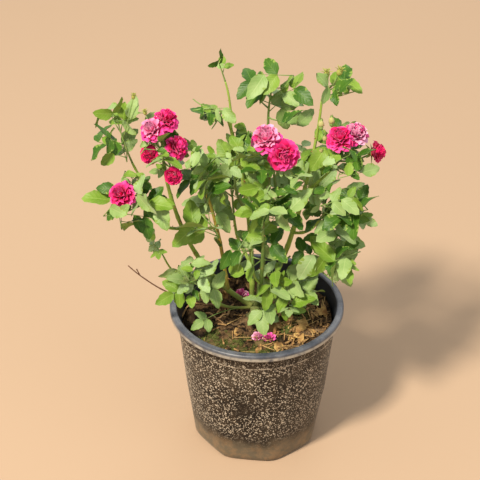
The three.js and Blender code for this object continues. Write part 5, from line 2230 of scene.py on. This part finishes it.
@dataclass
class Blooms:
    """The flowers, buds and spent flower heads."""

    petals: int = 52
    seed: int = 701
    stamens: int = 14
    full_open: float = 82
    half_open: float = 52
    depth: float = 0.34
    petal_long: Pair = (0.66, 0.1)
    petal_wide: Pair = (0.26, 0.32)
    cup_line: tuple[Pair, ...] = (
        (0, 0), (0.4, 0.02), (0.78, 0.25), (1, 0.6), (0.85, 0.9), (0.5, 1.05), (0, 1.1),
    )
    bud_line: tuple[Pair, ...] = (
        (0, -0.6), (0.3, -0.55), (0.46, -0.25), (0.5, 0.05), (0.4, 0.4), (0.22, 0.72), (0.06, 0.9), (0, 0.92),
    )

    def __post_init__(self) -> None:
        """Starts the draws."""
        self.draws = Draws(self.seed)
        self.clouds = {name: Cloud() for name in PETAL_FINISHES}
        self.sepals, self.spent = Cloud(), Cloud()
        self.cups, self.old_cups, self.buds = MeshParts(), MeshParts(), MeshParts()

    def colour_of(self, tint: Tint, share: float) -> str:
        """Picks the piece that a petal belongs to.

        Args:
            tint: Its bloom's tint.
            share: How far it is from the bloom's middle.

        Returns:
            The piece's name.
        """
        if tint is Tint.BLUSH:
            return "petals_pale" if share < self.draws.span(0.5, 0.8) else "petals_magenta"
        if tint is Tint.MAGENTA:
            return "petals_magenta" if self.draws.share() < 0.72 else "petals_crimson"
        if tint is Tint.FADED:
            return "petals_faded" if self.draws.share() < 0.75 else "petals_magenta"
        return "petals_crimson"

    def set_petals(self, bloom: BloomPlan) -> None:
        """Sets a bloom's petals in a spiral, upright in its middle and laid out at its edge.

        Args:
            bloom: The bloom.
        """
        facing, draws, wide = unit(bloom.facing), self.draws, bloom.diameter
        base = np.array(bloom.centre) - facing * (wide * self.depth)
        closed = bloom.tint is Tint.CRIMSON
        spread = self.half_open if closed else self.full_open
        for i in range(self.petals):
            share = (i + 0.5) / self.petals
            lean = radians(5 + spread * share**0.9) + draws.span(-0.09, 0.09)
            out, along, inward = leaning(facing, i * GOLDEN_TURN + draws.span(-0.2, 0.2), lean)
            size = wide * (self.petal_long[0] - self.petal_long[1] * share) * draws.span(0.93, 1.05)
            width = wide * (self.petal_wide[0] + self.petal_wide[1] * share**0.7) * (1.3 if closed else 1.0)
            kind = min(2, int(share * 3)) * 3 + draws.pick((1, 1, 1))
            cloud = self.clouds[self.colour_of(bloom.tint, share)]
            root = base + out * (wide * 0.02) + facing * (wide * 0.05 * (1 - share))
            cloud.add(root, axes_turn(along, inward), (size, width, size * 0.9), kind)

    def set_sepals(
        self, foot: Array, facing: Array, size: float, lean: float, kind: int, cloud: Cloud
    ) -> None:
        """Sets five sepals round a flower's foot.

        Args:
            foot: The middle of the foot.
            facing: The way that the flower faces.
            size: How long the sepals are.
            lean: How far they are laid over.
            kind: Their shape.
            cloud: Where they are gathered.
        """
        for k in range(5):
            out, along, inward = leaning(facing, k * FULL_TURN / 5 + foot[0], lean)
            cloud.add(foot + out * size * 0.12, axes_turn(along, inward), (size, size * 0.36, size), kind)

    def cup(self, base: Array, facing: Array, radius: float, height: float) -> Shape:
        """The swollen green cup under a flower."""
        verts, faces = turned([(r * radius, z * height) for r, z in self.cup_line], 12)
        return base + verts @ np.stack((*around(facing), facing)), faces

    def bud_cone(self, centre: Array, facing: Array, size: float) -> Shape:
        """The rolled petals of a bud, with a twist.

        Args:
            centre: The bud's middle.
            facing: The way that it faces.
            size: How long it is.

        Returns:
            Its shape.
        """
        verts, faces = turned([(r * size, z * size) for r, z in self.bud_line], 15)
        turns = np.arctan2(verts[:, 1], verts[:, 0])
        verts[:, :2] *= (1 + 0.12 * np.cos(3 * turns + verts[:, 2] / size * 3))[:, None]
        return centre + verts @ np.stack((*around(facing), facing)), faces

    def set_head(self, bloom: BloomPlan) -> None:
        """Sets a bloom, bud or spent head.

        Args:
            bloom: Its plan.
        """
        facing, size = unit(bloom.facing), bloom.diameter
        centre = np.array(bloom.centre, float)
        if bloom.tint is Tint.BUD:
            base = centre - facing * size * 0.55
            self.buds.add(self.bud_cone(centre, facing, size * 0.7))
            self.cups.add(self.cup(base - facing * size * 0.25, facing, size * 0.27, size * 0.5))
            self.set_sepals(base + facing * size * 0.15, facing, size * 1.1, 0.3, 1, self.sepals)
        elif bloom.tint is Tint.SPENT:
            base = centre - facing * size * 0.72
            self.old_cups.add(self.cup(base, facing, size * 0.38, size * 0.75))
            self.set_sepals(base + facing * size * 0.6, facing, size * 0.8, 0.9, 0, self.spent)
            self.set_stamens(base + facing * size * 0.75, facing, size)
        else:
            self.set_petals(bloom)
            base = centre - facing * size * 0.36
            self.cups.add(self.cup(base - facing * size * 0.14, facing, size * 0.12, size * 0.24))
            self.set_sepals(base, facing, size * 0.46, 1.5, 0, self.sepals)

    def set_stamens(self, base: Array, facing: Array, size: float) -> None:
        """Adds the dry stamens of a spent head.

        Args:
            base: The middle of the head.
            facing: The way that it faces.
            size: The head's size.
        """
        for k in range(self.stamens):
            out, way, _ = leaning(facing, k * GOLDEN_TURN, 0.15 + 0.75 * k / self.stamens)
            reach = size * self.draws.span(0.25, 0.42)
            places = base + out * size * 0.12 + np.outer((0, 0.6, 1), way * reach)
            self.old_cups.add(tube(places, np.array((0.3, 0.25, 0.55)), 5))

    def build(self) -> None:
        """Builds every bloom, bud and spent head."""
        for bloom in BLOOM_PLANS + SMALL_HEADS:
            self.set_head(bloom)
        shelf = shelf_of("petal_shapes", PETALS)
        flowered = sorted({b.mass for b in BLOOM_PLANS})
        for name, cloud in self.clouds.items():
            settle(cloud.make(name, shelf, PETAL_FINISHES[name]), "foliage", *flowered)
        shelf = shelf_of("sepal_shapes", SEPALS)
        for piece in (
            self.buds.make("bud_petals", BUD_PETAL),
            self.cups.make("flower_cups", CALYX),
            self.sepals.make("sepals", shelf, CALYX),
            self.old_cups.make("spent_cups", SPENT_CALYX),
            self.spent.make("spent_sepals", shelf, SPENT_CALYX),
        ):
            settle(piece, "foliage")


@dataclass(frozen=True)
class Strewn:
    """Strands that lie about the soil: how many, how long and thick, and the share at the right front."""

    name: str
    count: int
    lengths: Pair
    thicks: Pair
    right: float
    seed: int
    finish: Finish


@dataclass
class Litter:
    """What lies on the soil: crumbs, moss, straw, dry leaves, rootlets and fallen flowers."""

    soil: Soil
    crumb_density: float = 62000
    moss_density: float = 60000
    strewn: tuple[Strewn, ...] = (
        Strewn("straw", 42, (9, 34), (0.7, 1.7), 0.75, 801, STRAW),
        Strewn("chaff", 130, (4, 13), (1.6, 3.6), 0.6, 802, CHAFF),
    )
    edge_height: float = 150
    crown_clear: float = 18
    leaf_crown_clear: float = 22
    leaf_edge_clear: float = 14
    leaf_count: int = 46
    fallen: tuple[tuple[float, float, float, Tint], ...] = (
        (2, -41, 14, Tint.FADED), (13, -44, 15, Tint.MAGENTA), (-19, 42, 16, Tint.FADED),
    )
    fallen_petals: int = 30
    root_runs: tuple[tuple[float, float, float, float], ...] = (
        (-87, 12, -76, 34), (-76, 34, -30, 17), (-61, 43, -47, 27),
        (-58, 10, -38, -10), (-48, -3, -32, 6), (-33, 4, -31, 15),
    )
    root_steps: int = 9

    def lump(self, seed: int) -> Shape:
        """A crumb of soil: an uneven twenty-sided lump, about one across.

        Args:
            seed: The seed of its unevenness.

        Returns:
            Its shape.
        """
        golden = (1 + sqrt(5)) / 2
        corners = [(s, t * golden, 0) for s in (-1, 1) for t in (-1, 1)]
        corners += [(0, s, t) for s, t, _ in corners] + [(t, 0, s) for s, t, _ in corners]
        points = np.array([unit(v) for v in corners])
        near = np.linalg.norm(points[:, None] - points, axis=2) < 1.1
        faces: list[tuple[int, ...]] = []
        for i, j, k in combinations(range(12), 3):
            if near[i, j] and near[j, k] and near[i, k]:
                a, b, c = points[[i, j, k]]
                faces.append((i, j, k) if np.cross(b - a, c - a) @ (a + b + c) > 0 else (i, k, j))
        draws = Draws(seed)
        return np.array([p * draws.span(0.34, 0.56) * (1, 0.85, 0.75) for p in points]), faces

    def tuft(self, seed: int) -> Shape:
        """A tuft of moss: short spikes that lean apart.

        Args:
            seed: The seed of their heights.

        Returns:
            Its shape.
        """
        draws = Draws(seed)
        verts: list[Array] = []
        faces: list[tuple[int, ...]] = []
        for k in range(8):
            turn = k * GOLDEN_TURN
            reach = 0.5 * sqrt((k + 0.5) / 8)
            foot = np.array((cos(turn) * reach, sin(turn) * reach, -0.1))
            verts += [foot + np.array((cos(a), sin(a), 0)) * 0.13 for a in (turn, turn + 2.1, turn + 4.2)]
            verts.append(foot * (1.7, 1.7, 0) + np.array((0, 0, draws.span(0.5, 0.9))))
            n = 4 * k
            faces += [(n, n + 1, n + 3), (n + 1, n + 2, n + 3), (n + 2, n, n + 3), (n + 2, n + 1, n)]
        return np.array(verts), faces

    def strand(self, bend: float) -> Shape:
        """A straw, one long along X and one across, a little bent.

        Args:
            bend: How far it is bent.

        Returns:
            Its shape.
        """
        shares = np.linspace(0, 1, 6)
        places = np.stack((shares, bend * np.sin(shares * pi), 0 * shares), axis=1)
        verts, faces = tube(places, 0.5, 5)
        middles = np.repeat(places, 5, axis=0)
        return middles + (verts - middles) * np.outer(1 - 0.3 * np.repeat(shares, 5), (0, 1, 1)), faces

    def scatter(self, strewn: Strewn) -> Cloud:
        """Lays strands about the soil, each with its two ends on the ground.

        Args:
            strewn: What is laid.

        Returns:
            The places.
        """
        draws, cloud, soil = Draws(strewn.seed), Cloud(), self.soil
        limit = soil.wall_radius(self.edge_height)
        while len(cloud.rows) < strewn.count:
            if draws.share() < strewn.right:
                x, y = 46 + draws.span(-1, 1) * 36, -24 + draws.span(-1, 1) * 44
            else:
                x, y = soil.any_place(limit, draws)
            length = draws.span(*strewn.lengths)
            turn = draws.span(0, pi)
            right, back = cos(turn) * length, sin(turn) * length
            reach = hypot(abs(x) + abs(right) / 2, abs(y) + abs(back) / 2)
            if reach > limit - 1 or soil.off_crown(x, y) < self.crown_clear:
                continue
            thick = draws.span(*strewn.thicks)
            ends = []
            for hand in (-0.5, 0.5):
                ex, ey = x + right * hand, y + back * hand
                ends.append(np.array((ex, ey, soil.top(ex, ey) + thick * 0.4 + draws.span(0, 2.2))))
            way = ends[1] - ends[0]
            roll = unit(UP + 0.4 * np.array((draws.span(-1, 1), draws.span(-1, 1), 0)))
            size = (float(np.linalg.norm(way)), thick, thick * 0.6)
            cloud.add(ends[0], axes_turn(way, roll), size, draws.pick((1, 1, 1)))
        return cloud

    def build(self, bed: Object) -> None:
        """Builds all the litter.

        Args:
            bed: The soil, with the weights that say where things lie.
        """
        sprinkle = SprinkleTree()
        for name, shape, weight, density, sizes, tilt, finish in (
            ("soil_crumbs", self.lump, "crumbs", self.crumb_density, (0.0008, 0.0042), 0.6, CRUMB),
            ("moss_tufts", self.tuft, "moss", self.moss_density, (0.0022, 0.0046), 0.15, MOSS),
        ):
            shelf = ShapeShelf(name + "_shapes")
            for seed in (1, 2, 3, 4):
                shelf.add(shape(seed))
            material = finish.material()
            spread = {"Density": density, "Smallest": sizes[0], "Largest": sizes[1], "Tilt": tilt, "Seed": 11}
            looks = {"Shapes": shelf.collection, "Weight": weight, "Upper": material, "Under": material}
            settle(sprinkle.run(name, bed.data.copy(), **spread, **looks), "soil")
        strands = ShapeShelf("strand_shapes")
        for bend in (0.0, 0.08, -0.12):
            strands.add(self.strand(bend))
        for strewn in self.strewn:
            settle(self.scatter(strewn).make(strewn.name, strands, strewn.finish), "soil")
        self.build_roots()
        self.build_leaves()
        self.build_fallen()

    def build_roots(self) -> None:
        """Builds the rootlets and dry stalks that lie across the hollow."""
        parts = MeshParts()
        draws = Draws(803)
        for x0, y0, x1, y1 in self.root_runs:
            places = []
            first, last = self.soil.top(x0, y0), self.soil.top(x1, y1)
            for share in np.linspace(0, 1, self.root_steps):
                x = x0 + (x1 - x0) * share + draws.span(-1, 1)
                y = y0 + (y1 - y0) * share + draws.span(-1, 1)
                ground = max(self.soil.top(x, y), first + (last - first) * share)
                places.append((x, y, ground + 0.9 + 1.6 * sin(pi * share)))
            parts.add(tube(np.array(places), np.linspace(1.3, 0.6, self.root_steps), 7))
        settle(parts.make("rootlets", ROOTLET), "soil")

    def build_leaves(self) -> None:
        """Builds the dry leaves on the soil."""
        draws, cloud = Draws(804), Cloud()
        limit = self.soil.wall_radius(self.edge_height) - self.leaf_edge_clear
        while len(cloud.rows) < self.leaf_count:
            x, y = self.soil.any_place(limit, draws)
            if x < draws.span(-60, 70) or self.soil.off_crown(x, y) < self.leaf_crown_clear:
                continue
            turn = draws.turn()
            way = np.array((cos(turn), sin(turn), draws.span(-0.05, 0.2)))
            length = draws.span(9, 20)
            up = UP + np.array((draws.span(-0.5, 0.5), draws.span(-0.5, 0.5), 0))
            place = np.array((x, y, self.soil.top(x, y) + 1.2))
            cloud.add(place, axes_turn(way, up), (length, length * 0.6, length), draws.pick((1, 1, 1)))
        shelf = shelf_of("dry_leaf_shapes", DRY_LEAFLETS)
        settle(cloud.make("dry_leaves", shelf, DRY_LEAF), "soil")

    def build_fallen(self) -> None:
        """Builds the fallen flowers, lying on the soil."""
        blooms = Blooms(self.fallen_petals, 805)
        for x, y, size, tint in self.fallen:
            facing = (blooms.draws.span(-0.5, 0.5), blooms.draws.span(-0.6, 0), 1)
            centre = (x, y, self.soil.top(x, y) + size * 0.22)
            blooms.set_petals(BloomPlan("fallen", centre, size, facing, tint))
        shelf = shelf_of("fallen_shapes", PETALS)
        for name, cloud in blooms.clouds.items():
            if cloud.rows:
                finish = FADED_PETAL if name == "petals_faded" else FALLEN_PETAL
                settle(cloud.make(f"fallen_{name}", shelf, finish), "soil")


@dataclass
class Stage:
    """The floor, the lights and the camera."""

    camera_place: Point = (-0.0192, -1.36656, 1.19120)
    camera_tilt: float = radians(55.92)
    lens: float = 110.925
    sensor: float = 36
    floor_size: float = 4
    sky: Colour = (0.98, 0.97, 0.95)
    sky_strength: float = 0.6
    target: Point = (0, 0, 0.2)
    lights: tuple[tuple[str, Point, float, float, Colour], ...] = (
        ("sun", (-1.8, -2.2, 4.0), 0.6, 325, (1.0, 0.9, 0.76)),
        ("fill", (1.6, -1.2, 1.4), 1.6, 7, (0.95, 0.97, 1.0)),
        ("back", (0.4, 1.9, 1.6), 1.4, 9, (1.0, 0.98, 0.95)),
    )

    def build_camera(self) -> None:
        """Sets the camera at the photograph's angle."""
        data = bpy.data.cameras.new("camera")
        data.lens = self.lens
        data.sensor_width = self.sensor
        camera = show("camera", data)
        camera.location = self.camera_place
        camera.rotation_euler = (self.camera_tilt, 0, 0)
        bpy.context.scene.camera = camera

    def build_floor(self) -> None:
        """Lays the floor."""
        reach = self.floor_size / 2
        corners = [(-reach, -reach, 0), (reach, -reach, 0), (reach, reach, 0), (-reach, reach, 0)]
        mesh = bpy.data.meshes.new("floor")
        mesh.from_pydata(corners, [], [(0, 1, 2, 3)])
        mesh.materials.append(FloorFinish().material())
        show("floor", mesh)

    def build_lights(self) -> None:
        """Sets the square lights, each looking at the plant, and the sky."""
        for name, place, size, power, colour in self.lights:
            data = bpy.data.lights.new(name, "AREA")
            data.size = size
            data.energy = power
            data.color = colour
            lamp = show(name, data)
            lamp.location = place
            lamp.rotation_euler = (Vector(place) - Vector(self.target)).to_track_quat("Z", "Y").to_euler()
        world = bpy.data.worlds.new("sky")
        world.use_nodes = True
        glow = world.node_tree.nodes["Background"]
        glow.inputs["Color"].default_value = (*self.sky, 1)
        glow.inputs["Strength"].default_value = self.sky_strength
        bpy.context.scene.world = world

    def build(self) -> None:
        """Builds the stage, shown in plain colours."""
        self.build_camera()
        self.build_floor()
        self.build_lights()
        bpy.context.scene.view_settings.view_transform = "Standard"
        bpy.context.scene.view_settings.look = "None"


def main() -> None:
    """Loads the frame and builds the rose, its pot and the stage."""
    logging.basicConfig(level=logging.INFO, format="%(name)s: %(message)s")
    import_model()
    Stage().build()
    growth = Growth()
    growth.grow()
    pot = Pot()
    pot.build()
    soil = Soil(pot)
    bed = soil.build()
    Crown().build()
    Canes(growth).build()
    Foliage(growth).build()
    Blooms().build()
    Litter(soil).build(bed)


if __name__ == "__main__":
    main()
